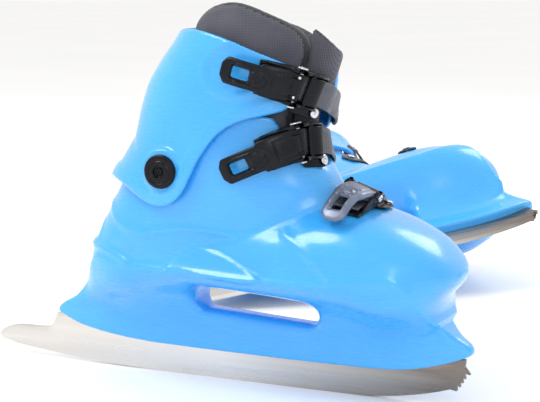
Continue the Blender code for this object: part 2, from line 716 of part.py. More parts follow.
def tongue_body(name, grow, collection):
    """The tongue: a crescent carried down the front of the shaft to the instep.

    A grown copy cuts its seat in the liner, and opens that seat towards the leg.
    """
    edge = 90 if grow else 78
    deep = TONGUE_THICKNESS + (5.0 if grow else 0.0)
    rings = []
    for t in spread(0.0, 1.0, 1.0 / 8):
        x, z, half_width, depth = spline_row(TONGUE_STATIONS, t)
        ahead = spline_row(TONGUE_STATIONS, min(1.0, t + 0.02))
        behind = spline_row(TONGUE_STATIONS, max(0.0, t - 0.02))
        along = Vector((ahead[0] - behind[0], ahead[1] - behind[1])).normalized()
        inward = Vector((along.y, -along.x))
        if grow:
            shift = along * (-4.0 if t == 0.0 else 4.0 if t == 1.0 else 0.0)
            x, z = x + shift.x, z + shift.y
        ring = []
        for start, shrink in ((-edge, -grow), (edge, deep)):
            for i in range(6):
                angle = math.radians(start * (1 - 0.4 * i))
                back = depth - (depth - shrink) * math.cos(angle)
                y = (half_width - shrink) * math.sin(angle)
                ring.append((x + inward.x * back, y, z + inward.y * back))
        rings.append(ring)
    return loft(name, rings, collection)


def liner(collection):
    """The padded inner boot, open in front where its tongue fills the gap."""
    body = lined_body("liner", SHELL_WALL + LINER_GAP, LINER_END, collection)
    inside = lined_body("inside", SHELL_WALL + LINER_GAP + LINER_WALL, LINER_INSIDE_END,
                        collection)
    trim = prism("trim", LINER_TRIM, -70, 70, collection)
    gap = tongue_body("gap", 0.9, collection)
    combine(body, [inside, trim, gap], "DIFFERENCE")
    discard([inside, trim, gap])
    return body


def footbed(collection):
    """The insole that lies in the liner."""
    outline = []
    for i in range(28):
        angle = 2 * math.pi * i / 28
        x = -6.0 + 105.0 * math.cos(angle)
        widen = 1.0 + 0.16 * math.cos(angle)
        outline.append((x, 26.0 * widen * signed_power(math.sin(angle), 0.8)))
    rings = [[(x, y, z) for x, y in outline] for z in (FOOTBED_LOW, FOOTBED_LOW + 2.6)]
    return loft("footbed", rings, collection)


# ---------------------------------------------------------------- assembly
def make_tracks(collection):
    """The three strap tracks, measured on the bare forms of the boot and the cuff."""
    boot = boot_body("boot_form", collection, 70, 72)
    shaft = shaft_body("shaft_form", 124.5, 262.0, 0.0, collection, 40, 72)
    bpy.context.view_layer.update()

    def cuff_rise(degrees):
        return 3.2 - 0.213 * degrees if degrees < -38 else 11.3 - 0.36 * (degrees + 38)

    def ankle_rise(degrees):
        return -0.3 * max(0.0, degrees + 24.0)

    tracks = {
        "cuff": Track(shaft, (-14, 0, 200), (1, 0, 0), cuff_rise, -36.0, (-105, 66), -1),
        "ankle": Track(boot, (-22, 0, 147.2), (63, 0, 31), ankle_rise, -24.0, (-108, 90), -1),
        "toe": Track(boot, (55, 0, 90), (0.27, 0, 1), lambda d: 0.0, -5.0, (-84, 84), -1),
    }
    discard([boot, shaft])
    return tracks


def build_skate(collection):
    """Every part of the right skate, as (node, slot, object, joint origin)."""
    tracks = make_tracks(collection)
    parts = [
        ("blade", "blade_steel", blade(collection), None),
        ("shell", "shell_plastic", shell(tracks, collection), None),
        ("cuff", "shell_plastic", cuff(tracks, collection), (PIVOT[0], 0.0, PIVOT[1])),
        ("liner", "liner_fabric", liner(collection), None),
        ("tongue", "liner_fabric", tongue_body("tongue", 0.0, collection), None),
        ("footbed", "footbed_foam", footbed(collection), None),
        ("pivot_bolt_lateral", "black_plastic", pivot_bolt("bolt", -1, collection), None),
        ("pivot_bolt_medial", "black_plastic", pivot_bolt("bolt", 1, collection), None),
    ]
    for kind, track in tracks.items():
        axle_at = track.place(0.0, 0.0, AXLE_HEIGHT)
        pawl_at = track.place(PAWL_AT, 0.0, PAWL_HEIGHT)
        anchor = ANCHORS[kind]
        parts += [
            (kind + "_base", "black_plastic", buckle_base(track, "base", collection), None),
            (kind + "_lever", "black_plastic", lever(track, "lever", TAILS[kind], collection),
             axle_at),
            (kind + "_axle", "rivet_steel", axle(track, "axle", collection), None),
            (kind + "_pawl", "black_plastic", pawl(track, "pawl", collection), pawl_at),
            (kind + "_strap", "strap_plastic", strap(track, "strap", anchor, collection), None),
            (kind + "_strap_rivet", "rivet_steel",
             rivet(track, "rivet", anchor, 0.0, STRAP_TOP, collection), None),
            (kind + "_base_rivet", "rivet_steel",
             rivet(track, "rivet", BASE_RIVET[0], BASE_RIVET[1], FLOOR_HIGH, collection), None),
        ]
    return parts


def placed(side, node, slot, mesh, origin, parent, collection):
    """An object of a mesh given in its skate's frame, with its origin where it turns."""
    at = Vector(origin or (0, 0, 0)) * MM
    mesh.transform(Matrix.Translation(-at))
    name = side + "_" + node
    mesh.name = name
    made = bpy.data.objects.new(name, mesh)
    made.parent = parent
    made.location = at
    mesh.materials.clear()
    mesh.materials.append(part_material(name, slot))
    mesh.shade_smooth()
    mesh.set_sharp_from_angle(angle=math.radians(35))
    collection.objects.link(made)
    return made


def mirrored(mesh):
    """A left-hand copy of a mesh, with its faces still pointing out."""
    copy = mesh.copy()
    copy.transform(Matrix.Scale(-1, 4, (0, 1, 0)))
    copy.flip_normals()
    return copy


def skate_frame(name, matrix, collection):
    """The empty that carries one skate."""
    empty = bpy.data.objects.new(name, None)
    empty.matrix_world = matrix
    collection.objects.link(empty)
    return empty


def left_matrix():
    """Where the left skate's frame lies."""
    turn = (Matrix.Rotation(math.radians(LEFT_YAW), 4, "Z")
            @ Matrix.Rotation(math.radians(LEFT_PITCH), 4, "Y")
            @ Matrix.Rotation(math.radians(LEFT_ROLL), 4, "X"))
    return Matrix.Translation(Vector(LEFT_ORIGIN) * MM) @ turn


def main():
    """Build both skates."""
    clear_scene()
    collection = new_collection(COLLECTION)
    workshop = new_collection("workshop", hidden=True)
    right = skate_frame("right_skate", Matrix.Identity(4), collection)
    left = skate_frame("left_skate", left_matrix(), collection)
    for node, slot, made, origin in build_skate(workshop):
        mesh = made.data
        flipped = mirrored(mesh)
        flipped_origin = origin and (origin[0], -origin[1], origin[2])
        placed("right", node, slot, mesh, origin, right, collection)
        placed("left", node, slot, flipped, flipped_origin, left, collection)
        bpy.data.objects.remove(made, do_unlink=True)


main()
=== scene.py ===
"""Looks of the pair of hard-shell ice skates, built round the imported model.

Shapes are worked out in each skate's own frame, in millimetres: X towards the toe, Y towards the
skater's left, Z up from the ice. The left skate is the mirror image of the right one.
Moulded parts are distance fields turned into meshes, so that their edges and blends are round.
"""
import math

import bmesh
import bpy
import numpy as np
from mathutils import Matrix, Vector, bvhtree


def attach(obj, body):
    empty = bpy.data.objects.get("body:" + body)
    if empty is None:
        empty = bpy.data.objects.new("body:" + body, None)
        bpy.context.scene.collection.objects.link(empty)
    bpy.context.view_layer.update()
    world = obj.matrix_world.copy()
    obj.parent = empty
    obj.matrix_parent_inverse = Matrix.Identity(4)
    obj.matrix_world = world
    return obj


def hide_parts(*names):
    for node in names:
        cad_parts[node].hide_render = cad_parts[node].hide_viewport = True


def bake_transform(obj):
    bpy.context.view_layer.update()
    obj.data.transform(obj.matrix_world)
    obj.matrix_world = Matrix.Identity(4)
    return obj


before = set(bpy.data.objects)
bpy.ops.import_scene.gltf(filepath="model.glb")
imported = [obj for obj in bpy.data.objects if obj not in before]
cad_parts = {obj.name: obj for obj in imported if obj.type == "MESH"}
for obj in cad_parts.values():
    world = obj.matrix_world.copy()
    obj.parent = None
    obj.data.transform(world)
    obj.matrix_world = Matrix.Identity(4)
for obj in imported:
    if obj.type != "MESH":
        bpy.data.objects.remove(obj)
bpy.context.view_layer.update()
MM = 0.001

# ---------------------------------------------------------------- dimensions shared with the model
LEFT_ORIGIN = (-16.5, 285.0, 37.6)
LEFT_TURN = (40.7, -9.94, -78.8)          # yaw, pitch, roll in degrees
PIVOT = (-56.0, 151.0)
SHELL_WALL = 3.6
CUFF_WALL = 3.4
SOLE_INSIDE = 71.6
BOSS_FACE = 51.2
FLOOR_RADIUS = 14.0         # metres
BLADE_THICKNESS = 3.8

# back or sole point, front or instep point, half width, roundness, skew
BOOT_STATIONS = (
    (-81.0, 207.0, 40.0, 205.0, 42.5, 2.2, 0.0),
    (-86.0, 182.0, 37.5, 187.0, 43.5, 2.2, 0.0),
    (-96.0, 157.0, 38.5, 171.0, 45.0, 2.2, 0.0),
    (-111.0, 133.0, 43.0, 157.0, 45.0, 2.2, 0.0),
    (-123.0, 109.0, 49.0, 146.5, 44.5, 2.3, 0.02),
    (-134.0, 85.0, 54.5, 139.0, 43.5, 2.3, 0.04),
    (-122.0, 66.0, 59.5, 134.5, 41.5, 2.4, 0.04),
    (-85.0, 65.0, 65.0, 131.5, 43.5, 2.5, 0.04),
    (-30.0, 67.5, 71.5, 129.3, 47.0, 2.7, 0.04),
    (30.0, 66.5, 80.5, 127.0, 50.5, 2.7, 0.05),
    (75.0, 65.0, 93.0, 123.5, 51.0, 2.6, 0.08),
    (105.0, 67.0, 107.5, 118.0, 46.5, 2.4, 0.08),
    (124.0, 71.0, 121.5, 110.5, 37.0, 2.3, 0.05),
    (135.0, 80.0, 132.5, 100.0, 24.0, 2.2, 0.0),
    (139.5, 87.0, 138.5, 92.0, 9.0, 2.0, 0.0),
)
# height, back x, front x, half width
CUFF_STATIONS = (
    (124.0, -120.0, 52.0, 51.5),
    (142.0, -116.0, 46.0, 51.5),
    (157.0, -105.5, 43.0, 50.5),
    (171.0, -97.5, 43.0, 49.0),
    (190.0, -92.0, 43.0, 48.5),
    (207.0, -86.0, 46.5, 48.0),
    (223.0, -76.0, 50.0, 47.0),
    (236.0, -66.0, 53.0, 46.5),
    (250.0, -57.0, 56.0, 46.0),
    (268.0, -49.0, 60.0, 46.0),
)
CUFF_BACK = (
    (-28.0, 244.0), (-42.0, 245.0), (-90.0, 241.0), (-130.0, 141.5), (-106.5, 142.5),
    (-92.0, 139.5), (-79.0, 133.0), (-68.0, 128.0), (-56.0, 126.5), (-47.0, 130.5),
    (-40.0, 138.0), (-35.0, 148.0),
)
CUFF_FRONTS = {
    -1: ((-30.0, 159.0), (-20.0, 173.0), (-11.0, 181.0), (2.0, 187.0), (15.0, 190.0),
         (28.0, 193.5), (34.0, 203.0), (38.0, 219.0), (27.0, 224.5), (11.0, 231.5),
         (-10.0, 239.5)),
    1: ((-29.0, 157.0), (-17.0, 166.0), (-3.0, 171.0), (14.0, 173.0), (29.0, 174.5),
        (36.0, 185.0), (39.0, 202.0), (38.0, 219.0), (27.0, 224.5), (11.0, 231.5),
        (-10.0, 239.5)),
}
THROAT_OUTLINE = (
    (-140.0, 163.0), (-60.0, 176.0), (-10.0, 188.0), (16.0, 190.5), (21.0, 181.0),
    (31.0, 166.0), (44.0, 153.0), (57.0, 147.0), (90.0, 150.0), (90.0, 230.0), (-140.0, 230.0),
)
WINDOW_CENTRES = ((-42.0, 60.0, 9.5), (32.0, 55.0, 8.5))
# x, rim z, top z, half width at the rim, half way up, at the top
HOLDER_STATIONS = (
    (-169.0, 36.5, 39.0, 4.0, 4.0, 3.6),
    (-163.0, 34.5, 43.5, 6.0, 6.0, 5.5),
    (-150.0, 30.0, 51.0, 8.0, 8.5, 8.0),
    (-138.0, 27.5, 63.0, 9.0, 11.0, 12.0),
    (-122.0, 25.0, 78.0, 9.5, 17.0, 22.0),
    (-96.0, 22.5, 80.0, 9.5, 20.0, 36.0),
    (-60.0, 21.5, 80.0, 9.5, 15.0, 38.0),
    (0.0, 21.0, 80.0, 9.5, 13.0, 42.0),
    (46.0, 21.0, 80.0, 9.5, 16.0, 44.0),
    (85.0, 21.5, 80.0, 9.5, 21.0, 42.0),
    (108.0, 24.0, 78.0, 9.5, 18.0, 34.0),
    (124.0, 28.0, 59.0, 9.0, 11.0, 18.0),
    (135.0, 31.5, 48.5, 8.0, 8.5, 8.0),
    (143.0, 34.5, 43.0, 6.0, 6.0, 5.5),
    (147.0, 36.5, 39.5, 4.0, 4.0, 3.6),
)
BLADE_TOP_EDGE = ((-168.5, 34.2), (-150.0, 36.8), (112.0, 36.8), (120.0, 32.2), (141.2, 32.2))
FLAT_SPAN = (-74.0, 58.0)
ROCKER_TAIL = 0.00044
ROCKER_TOE = 0.0021
# the toe picks, from the end of the rocker upwards: tips and roots by turns
PICK_EDGE = (
    (131.0, 11.4), (135.4, 10.6), (135.9, 15.2), (137.8, 13.4), (137.5, 18.0), (139.6, 16.3),
    (139.2, 21.0), (141.4, 19.2), (140.4, 23.2), (144.4, 22.4), (140.7, 27.0),
)
TONGUE_STATIONS = (
    (56.5, 260.0, 22.0, 18.0),
    (54.0, 238.0, 22.0, 18.0),
    (47.5, 216.0, 20.0, 16.0),
    (40.0, 198.0, 18.0, 13.0),
    (35.0, 191.0, 17.0, 12.0),
    (33.0, 176.0, 17.0, 11.0),
    (34.0, 163.0, 16.0, 10.0),
    (38.0, 153.0, 14.0, 9.0),
)
LINER_TRIM = (
    (-80.0, 245.0), (-60.0, 246.0), (-46.0, 252.0), (-31.0, 259.5), (-16.5, 263.0),
    (-7.0, 263.3), (4.5, 260.5), (19.0, 254.5), (28.0, 250.0), (34.0, 245.0), (37.0, 238.0),
    (37.0, 230.0), (34.0, 221.0), (29.0, 205.0), (25.0, 188.0), (26.0, 174.0), (33.0, 162.0),
    (43.0, 152.0), (52.0, 148.0), (80.0, 150.0), (80.0, 290.0), (-80.0, 290.0),
)
MEDIAL_DROP = 15.0         # how much lower the liner's collar runs on the medial side
LINER_OUT = 4.2            # from the shell's outer face to the liner's
LINER_SHAFT_OUT = 8.7      # the same, from the cuff's outer face
LINER_THICK = 6.0

KINDS = ("cuff", "ankle", "toe")
TAILS = {"cuff": 45.5, "ankle": 50.0, "toe": 38.0}
ANCHORS = {"cuff": 70.0, "ankle": 78.0, "toe": 54.0}
AXLE_HEIGHT = 9.5
LEVER_WIDTH = 19.0
LEVER_LOW = 7.8
LEVER_HIGH = 11.2
LEVER_SINK = 2.2
BASE_BACK = -24.0
BASE_FRONT = 26.0
BASE_INSIDE = 20.2
CHEEK = 1.9
STRAP_WIDTH = 17.5
STRAP_LOW = 3.4
STRAP_HIGH = 5.1
STRAP_REST = 0.9
FLOOR_HIGH = 2.4
BASE_RIVET = (21.0, -12.8)
FOOTBED_HIGH = 82.2



# ---------------------------------------------------------------- curves and fields
def spline_rows(rows, t):
    """Rows of a table read on a Catmull-Rom curve, for an array of t from 0 to 1."""
    rows = np.array(rows, float)
    place = np.clip(np.asarray(t, float), 0, 1) * (len(rows) - 1)
    i = np.minimum(place.astype(int), len(rows) - 2)
    f = (place - i)[..., None]
    p0, p1 = rows[np.maximum(i - 1, 0)], rows[i]
    p2, p3 = rows[i + 1], rows[np.minimum(i + 2, len(rows) - 1)]
    return 0.5 * (2 * p1 + (p2 - p0) * f + (2 * p0 - 5 * p1 + 4 * p2 - p3) * f ** 2
                  + (3 * p1 - p0 - 3 * p2 + p3) * f ** 3)


def rows_at(rows, values):
    """Rows of a table read on its curve where the first column has the given values."""
    t = np.linspace(0, 1, 401)
    table = spline_rows(rows, t)
    key = table[:, 0]
    return np.stack([np.interp(values, key, table[:, k]) for k in range(1, table.shape[1])], -1)


def smax(a, b, k):
    """The greater of two fields, with a round of about k where they meet."""
    h = np.maximum(k - np.abs(a - b), 0) / k
    return np.maximum(a, b) + h * h * k / 4


def smin(a, b, k):
    """The lesser of two fields, with a fillet of about k where they meet."""
    return -smax(-a, -b, k)


def smooth(x, low, high):
    """0 below low, 1 above high, and a soft step between them."""
    t = np.clip((x - low) / (high - low), 0, 1)
    return t * t * (3 - 2 * t)


class Grid:
    """A block of sample points, kept as three broadcastable axes."""

    def __init__(self, low, high, step):
        self.low = np.array(low, float)
        self.step = step
        counts = np.ceil((np.array(high, float) - self.low) / step).astype(int) + 1
        axes = [self.low[i] + step * np.arange(counts[i]) for i in range(3)]
        self.x = axes[0][:, None, None]
        self.y = axes[1][None, :, None]
        self.z = axes[2][None, None, :]

    def level(self, field):
        """Scale a field so that it measures distance near its surface."""
        parts = np.gradient(field, self.step)
        steep = np.sqrt(sum(part * part for part in parts))
        return field / np.maximum(steep, 1e-3)

    def read(self, field, points):
        """The field at points, by trilinear interpolation."""
        place = (points - self.low) / self.step
        top = np.array(field.shape) - 2
        i = np.clip(np.floor(place).astype(int), 0, top)
        f = place - i
        total = 0
        for corner in range(8):
            bits = [(corner >> k) & 1 for k in range(3)]
            weight = 1
            for k in range(3):
                weight = weight * (f[:, k] if bits[k] else 1 - f[:, k])
            total = total + weight * field[i[:, 0] + bits[0], i[:, 1] + bits[1], i[:, 2] + bits[2]]
        return total

    def mesh(self, field, relax=2):
        """The zero surface of a field as points and quads, by surface nets."""
        shape = np.array(field.shape)
        cells = shape - 1
        stride = np.array([cells[1] * cells[2], cells[2], 1])
        sums = np.zeros((4, cells.prod()))
        quads = []
        for axis in range(3):
            first = np.take(field, np.arange(shape[axis] - 1), axis)
            second = np.take(field, np.arange(1, shape[axis]), axis)
            found = np.argwhere((first < 0) != (second < 0))
            u, v = (axis + 1) % 3, (axis + 2) % 3
            keep = ((found[:, u] > 0) & (found[:, v] > 0) & (found[:, u] < cells[u])
                    & (found[:, v] < cells[v]))
            found = found[keep]
            a, b = first[tuple(found.T)], second[tuple(found.T)]
            point = found.astype(float)
            point[:, axis] += a / (a - b)
            corner = found @ stride
            ring = [corner - stride[u] - stride[v], corner - stride[v], corner, corner - stride[u]]
            for c in ring:
                for k in range(3):
                    sums[k] += np.bincount(c, point[:, k], cells.prod())
                sums[3] += np.bincount(c, minlength=cells.prod())
            quad = np.stack(ring, 1)
            quad[a > 0] = quad[a > 0][:, ::-1]
            quads.append(quad)
        used = np.flatnonzero(sums[3])
        index = np.zeros(cells.prod(), int)
        index[used] = np.arange(len(used))
        faces = index[np.concatenate(quads)]
        points = (sums[:3, used] / sums[3, used]).T * self.step + self.low
        for _ in range(relax):
            points = relaxed(points, faces)
            points = self.settle(field, points)
        return points, faces

    def settle(self, field, points):
        """Move points along the gradient onto the zero surface."""
        h = self.step * 0.7
        value = self.read(field, points)
        slope = np.stack([self.read(field, points + d) - self.read(field, points - d)
                          for d in np.eye(3) * h], 1) / (2 * h)
        steep = np.maximum((slope * slope).sum(1), 0.2)
        move = slope * (value / steep)[:, None]
        length = np.linalg.norm(move, axis=1, keepdims=True)
        return points - move * np.minimum(1, self.step / np.maximum(length, 1e-9))


def relaxed(points, faces, share=0.5):
    """Each point moved part of the way to the middle of its neighbours."""
    total = np.zeros_like(points)
    count = np.zeros(len(points))
    for k in range(4):
        for other in (1, 3):
            a, b = faces[:, k], faces[:, (k + other) % 4]
            for c in range(3):
                total[:, c] += np.bincount(a, points[b, c], len(points))
            count += np.bincount(a, minlength=len(points))
    return points + (total / np.maximum(count, 1)[:, None] - points) * share


def outline_distance(outline, x, z):
    """Signed distance from points to a closed outline, negative inside."""
    best = np.full(np.broadcast(x, z).shape, 1e9)
    inside = np.zeros(best.shape, bool)
    for (ax, az), (bx, bz) in zip(outline, outline[1:] + outline[:1]):
        ex, ez = bx - ax, bz - az
        t = np.clip(((x - ax) * ex + (z - az) * ez) / (ex * ex + ez * ez), 0, 1)
        best = np.minimum(best, np.hypot(x - ax - t * ex, z - az - t * ez))
        crosses = (az > z) != (bz > z)
        where = ax + (z - az) / (ez if ez else 1e-9) * ex
        inside ^= crosses & (x < where)
    return np.where(inside, -best, best)


def line_distance(line, x, z):
    """Distance from points to an open line, and how far along it, from 0 to 1."""
    line = np.array(line, float)
    lengths = np.linalg.norm(np.diff(line, axis=0), axis=1)
    starts = np.concatenate([[0], np.cumsum(lengths)])
    best = np.full(np.broadcast(x, z).shape, 1e9)
    along = np.zeros(best.shape)
    for (ax, az), (bx, bz), start, length in zip(line, line[1:], starts, lengths):
        ex, ez = bx - ax, bz - az
        t = np.clip(((x - ax) * ex + (z - az) * ez) / length ** 2, 0, 1)
        away = np.hypot(x - ax - t * ex, z - az - t * ez)
        along = np.where(away < best, (start + t * length) / starts[-1], along)
        best = np.minimum(best, away)
    return best, along


def rounded_outline(points, rounds=2):
    """An outline with its corners cut round by Chaikin's rule."""
    points = np.array(points, float)
    for _ in range(rounds):
        following = np.roll(points, -1, axis=0)
        points = np.stack([points * 0.75 + following * 0.25,
                           points * 0.25 + following * 0.75], 1).reshape(-1, 2)
    return [tuple(p) for p in points]


def smooth_line(points, count=40):
    """A smooth open line through a few points."""
    return spline_rows(points, np.linspace(0, 1, count))


# ---------------------------------------------------------------- skate frames and mesh making
def left_matrix():
    """Where the left skate's frame lies, in metres."""
    yaw, pitch, roll = (math.radians(angle) for angle in LEFT_TURN)
    turn = (Matrix.Rotation(yaw, 4, "Z") @ Matrix.Rotation(pitch, 4, "Y")
            @ Matrix.Rotation(roll, 4, "X"))
    return Matrix.Translation(Vector(LEFT_ORIGIN) * MM) @ turn


SIDES = {"right": Matrix.Identity(4), "left": left_matrix()}
MATERIALS = {}


def make_object(name, points, faces, material, places=None):
    """A smooth-shaded object of points in metres; places are its points before it was posed."""
    mesh = bpy.data.meshes.new(name)
    faces = np.asarray(faces)
    corners = faces.shape[1]
    mesh.vertices.add(len(points))
    mesh.vertices.foreach_set("co", np.asarray(points, np.float32).ravel())
    mesh.loops.add(faces.size)
    mesh.loops.foreach_set("vertex_index", faces.ravel().astype(np.int32))
    mesh.polygons.add(len(faces))
    mesh.polygons.foreach_set("loop_start", np.arange(0, faces.size, corners, dtype=np.int32))
    mesh.update(calc_edges=True)
    mesh.validate()
    mesh.shade_smooth()
    mesh.materials.append(MATERIALS[material])
    place = mesh.attributes.new("place", "FLOAT_VECTOR", "POINT")
    places = points if places is None else places
    place.data.foreach_set("vector", np.asarray(places, np.float32).ravel())
    made = bpy.data.objects.new(name, mesh)
    bpy.context.scene.collection.objects.link(made)
    return made


def both(name, points, faces, material, body, nodes):
    """The piece on the right skate and its mirror image on the left one.

    The body and the replaced nodes are named without their side.
    """
    made = []
    for side, matrix in SIDES.items():
        flip = 1 if side == "right" else -1
        place = np.asarray(points) * MM * np.array([1, flip, 1])
        posed = place @ np.array(matrix.to_3x3()).T + np.array(matrix.translation)
        turned = faces if side == "right" else np.asarray(faces)[:, ::-1]
        piece = make_object(side + "_" + name, posed, turned, material, place)
        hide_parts(*[side + "_" + node for node in nodes])
        if body:
            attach(piece, side + "_" + body)
        made.append(piece)
    return made


# ---------------------------------------------------------------- the boot's fields
def boot_field(grid):
    """Distance from the boot's outer face, negative inside."""
    t = np.linspace(0, 1, 161)
    rows = spline_rows(BOOT_STATIONS, t)
    back, front = rows[:, 0:2], rows[:, 2:4]
    length = np.linalg.norm(front - back, axis=1)
    axis = (front - back) / length[:, None]
    x, z = np.broadcast_arrays(grid.x[:, 0, :], grid.z[:, 0, :])
    x, z = x.ravel()[:, None], z.ravel()[:, None]
    along = (x - back[:, 0]) * axis[:, 0] + (z - back[:, 1]) * axis[:, 1]
    beyond = (x - back[:, 0]) * axis[:, 1] - (z - back[:, 1]) * axis[:, 0]
    near = (along > -0.5 * length) & (along < 1.5 * length)
    change = (beyond[:, :-1] > 0) & (beyond[:, 1:] <= 0) & near[:, 1:]
    k = change.argmax(1)
    found = change.any(1)
    pick = np.arange(len(k))
    last = len(t) - 1
    before, after = beyond[pick, k], beyond[pick, np.minimum(k + 1, last)]
    part = np.where(found, before / np.where(found, before - after, 1), 0)
    top = beyond[:, 0] <= 0
    k = np.where(found, k, np.where(top, 0, last - 1))
    part = np.where(found, part, np.where(top, 0.0, 1.0))
    extra = np.where(found, -1e3, np.where(top, -beyond[:, 0], beyond[:, last]))
    lost = ~found & ~top & (extra < 0)
    here = rows[k] + (rows[k + 1] - rows[k]) * part[:, None]
    hx, hz = here[:, 2] - here[:, 0], here[:, 3] - here[:, 1]
    span = hx * hx + hz * hz
    u = 2 * ((x[:, 0] - here[:, 0]) * hx + (z[:, 0] - here[:, 1]) * hz) / span - 1
    shape = (grid.x.shape[0], 1, grid.z.shape[2])
    u, extra = u.reshape(shape), extra.reshape(shape)
    half = (here[:, 4] * (1 - here[:, 6] * np.clip(u.ravel(), -1.5, 1.5))).reshape(shape)
    power = here[:, 5].reshape(shape)
    radius = (np.abs(u) ** power + (np.abs(grid.y) / half) ** power) ** (1 / power)
    side = grid.level(np.where(lost.reshape(shape), 38, np.minimum((radius - 1) * 40, 38)))
    out = np.hypot(np.maximum(side, 0), np.maximum(extra, 0))
    return np.where(extra > -1e2, np.where(extra > 0, np.maximum(out, side), side), side)


def holder_field(grid):
    """Distance from the blade holder's outer face."""
    rim, top, low, middle, high = np.moveaxis(rows_at(HOLDER_STATIONS, grid.x), -1, 0)
    band = np.minimum(12.0, (top - rim) * 0.4)
    rise = np.clip((grid.z - rim - band) / np.maximum(top - rim - band, 1), 0, 1.2)
    a, b = middle - low, high - low
    cube = (a - 0.2025 * b) / (0.0911 - 0.2025)
    width = low + (b - cube) * rise ** 2 + cube * rise ** 3
    side = grid.level(np.abs(grid.y) - width + 0 * grid.z)
    field = smax(side, rim - grid.z, 1.6)
    field = smax(field, grid.z - top, 3.0)
    tail, toe = HOLDER_STATIONS[0][0], HOLDER_STATIONS[-1][0]
    return smax(field, np.maximum(tail - grid.x, grid.x - toe) + 0 * grid.y, 3.0)


def window_distance(x, z):
    """Distance from the holder's window in the XZ plane."""
    (ax, az, ar), (bx, bz, br) = WINDOW_CENTRES
    ex, ez = bx - ax, bz - az
    t = np.clip(((x - ax) * ex + (z - az) * ez) / (ex * ex + ez * ez), 0, 1)
    return np.hypot(x - ax - t * ex, z - az - t * ez) - ar - (br - ar) * t


def shaft_field(grid):
    """Distance from the cuff's outer face."""
    back, front, half = np.moveaxis(rows_at(CUFF_STATIONS, grid.z), -1, 0)
    centre, reach = (back + front) / 2, (front - back) / 2
    power = 2 / 0.9
    radius = ((np.abs(grid.x - centre) / reach) ** power
              + (np.abs(grid.y) / half) ** power) ** (1 / power)
    return grid.level((radius - 1) * 45)


def ridge(grid, line, width, side=0, fade=0.15):
    """A soft bead along a line in the XZ plane, 1 at its crest; side picks one flank."""
    away, along = line_distance(smooth_line(line), grid.x, grid.z)
    bead = np.exp(-(away / width) ** 2)
    ends = smooth(along, 0.0, fade) * (1 - smooth(along, 1 - fade, 1.0))
    flank = smooth(side * grid.y, 2, 10) if side else 1.0
    return bead * ends * flank


def panel(grid, outline, soft, side=0):
    """A raised field inside an outline in the XZ plane, 1 inside and 0 outside."""
    away = outline_distance(rounded_outline(outline), grid.x, grid.z)
    flank = smooth(side * grid.y, 2, 10) if side else 1.0
    return (1 - smooth(away, -soft, soft)) * flank


HEEL_RING = ((-137.0, 104.0), (-133.0, 112.0), (-125.0, 115.0), (-119.0, 108.0), (-119.0, 99.0),
             (-126.0, 94.0), (-134.0, 96.0))
HEEL_SHELF = ((-141.0, 90.0), (-128.0, 92.5), (-112.0, 92.0), (-96.0, 88.0), (-84.0, 83.0))
CUFF_SHADOW = ((-118.0, 128.0), (-110.0, 121.0), (-98.0, 112.0), (-80.0, 107.0), (-66.0, 106.0))
INSTEP_RIDGE = ((-74.0, 106.0), (-58.0, 110.0), (-40.0, 112.0), (-18.0, 111.0), (2.0, 108.0))
LEAF = ((-62.0, 83.0), (-50.0, 92.0), (-37.0, 101.0), (-18.0, 98.0), (4.0, 90.0), (20.0, 83.0),
        (4.0, 79.0), (-22.0, 81.0), (-46.0, 84.0))
TOE_RIDGE = ((22.0, 118.0), (40.0, 108.0), (58.0, 96.0), (70.0, 84.0))



def shell_piece():
    """The lower shell with its blade holder, moulded in one."""
    step = 1.35
    grid = Grid((-172, -56, 17), (150, 56, 212), step)
    boot = boot_field(grid)
    stand = holder_field(grid)
    fillet = 13.0 + 15.0 * smooth(grid.x, 60.0, 112.0) + 6.0 * smooth(-grid.x, 80.0, 120.0)
    outer = smin(boot, stand, fillet)
    outer = outer - 1.2 * ridge(grid, HEEL_SHELF, 2.6)
    outer = outer - 0.9 * ridge(grid, CUFF_SHADOW, 3.0)
    outer = outer - 1.3 * ridge(grid, INSTEP_RIDGE, 2.4, -1)
    outer = outer - 1.4 * panel(grid, LEAF, 1.6, -1)
    outer = outer - 1.1 * ridge(grid, TOE_RIDGE, 2.6, -1)
    ring, _ = line_distance(HEEL_RING + HEEL_RING[:1], grid.x, grid.z)
    outer = outer - 0.9 * np.exp(-(ring / 1.7) ** 2) * smooth(-grid.y, 2, 8)
    field = smax(outer, -window_distance(grid.x, grid.z) + 0 * grid.y, 9.0)
    hollow = np.maximum(np.maximum(boot + SHELL_WALL, SOLE_INSIDE - grid.z), grid.x - 133.5)
    field = np.maximum(field, -hollow)
    throat = outline_distance(rounded_outline(THROAT_OUTLINE, 1), grid.x, grid.z)
    field = smax(field, -throat + 0 * grid.y, 1.8)
    points, faces = grid.mesh(field, 3)
    both("shell_moulding", points, faces, "shell", "boot", ["shell"])


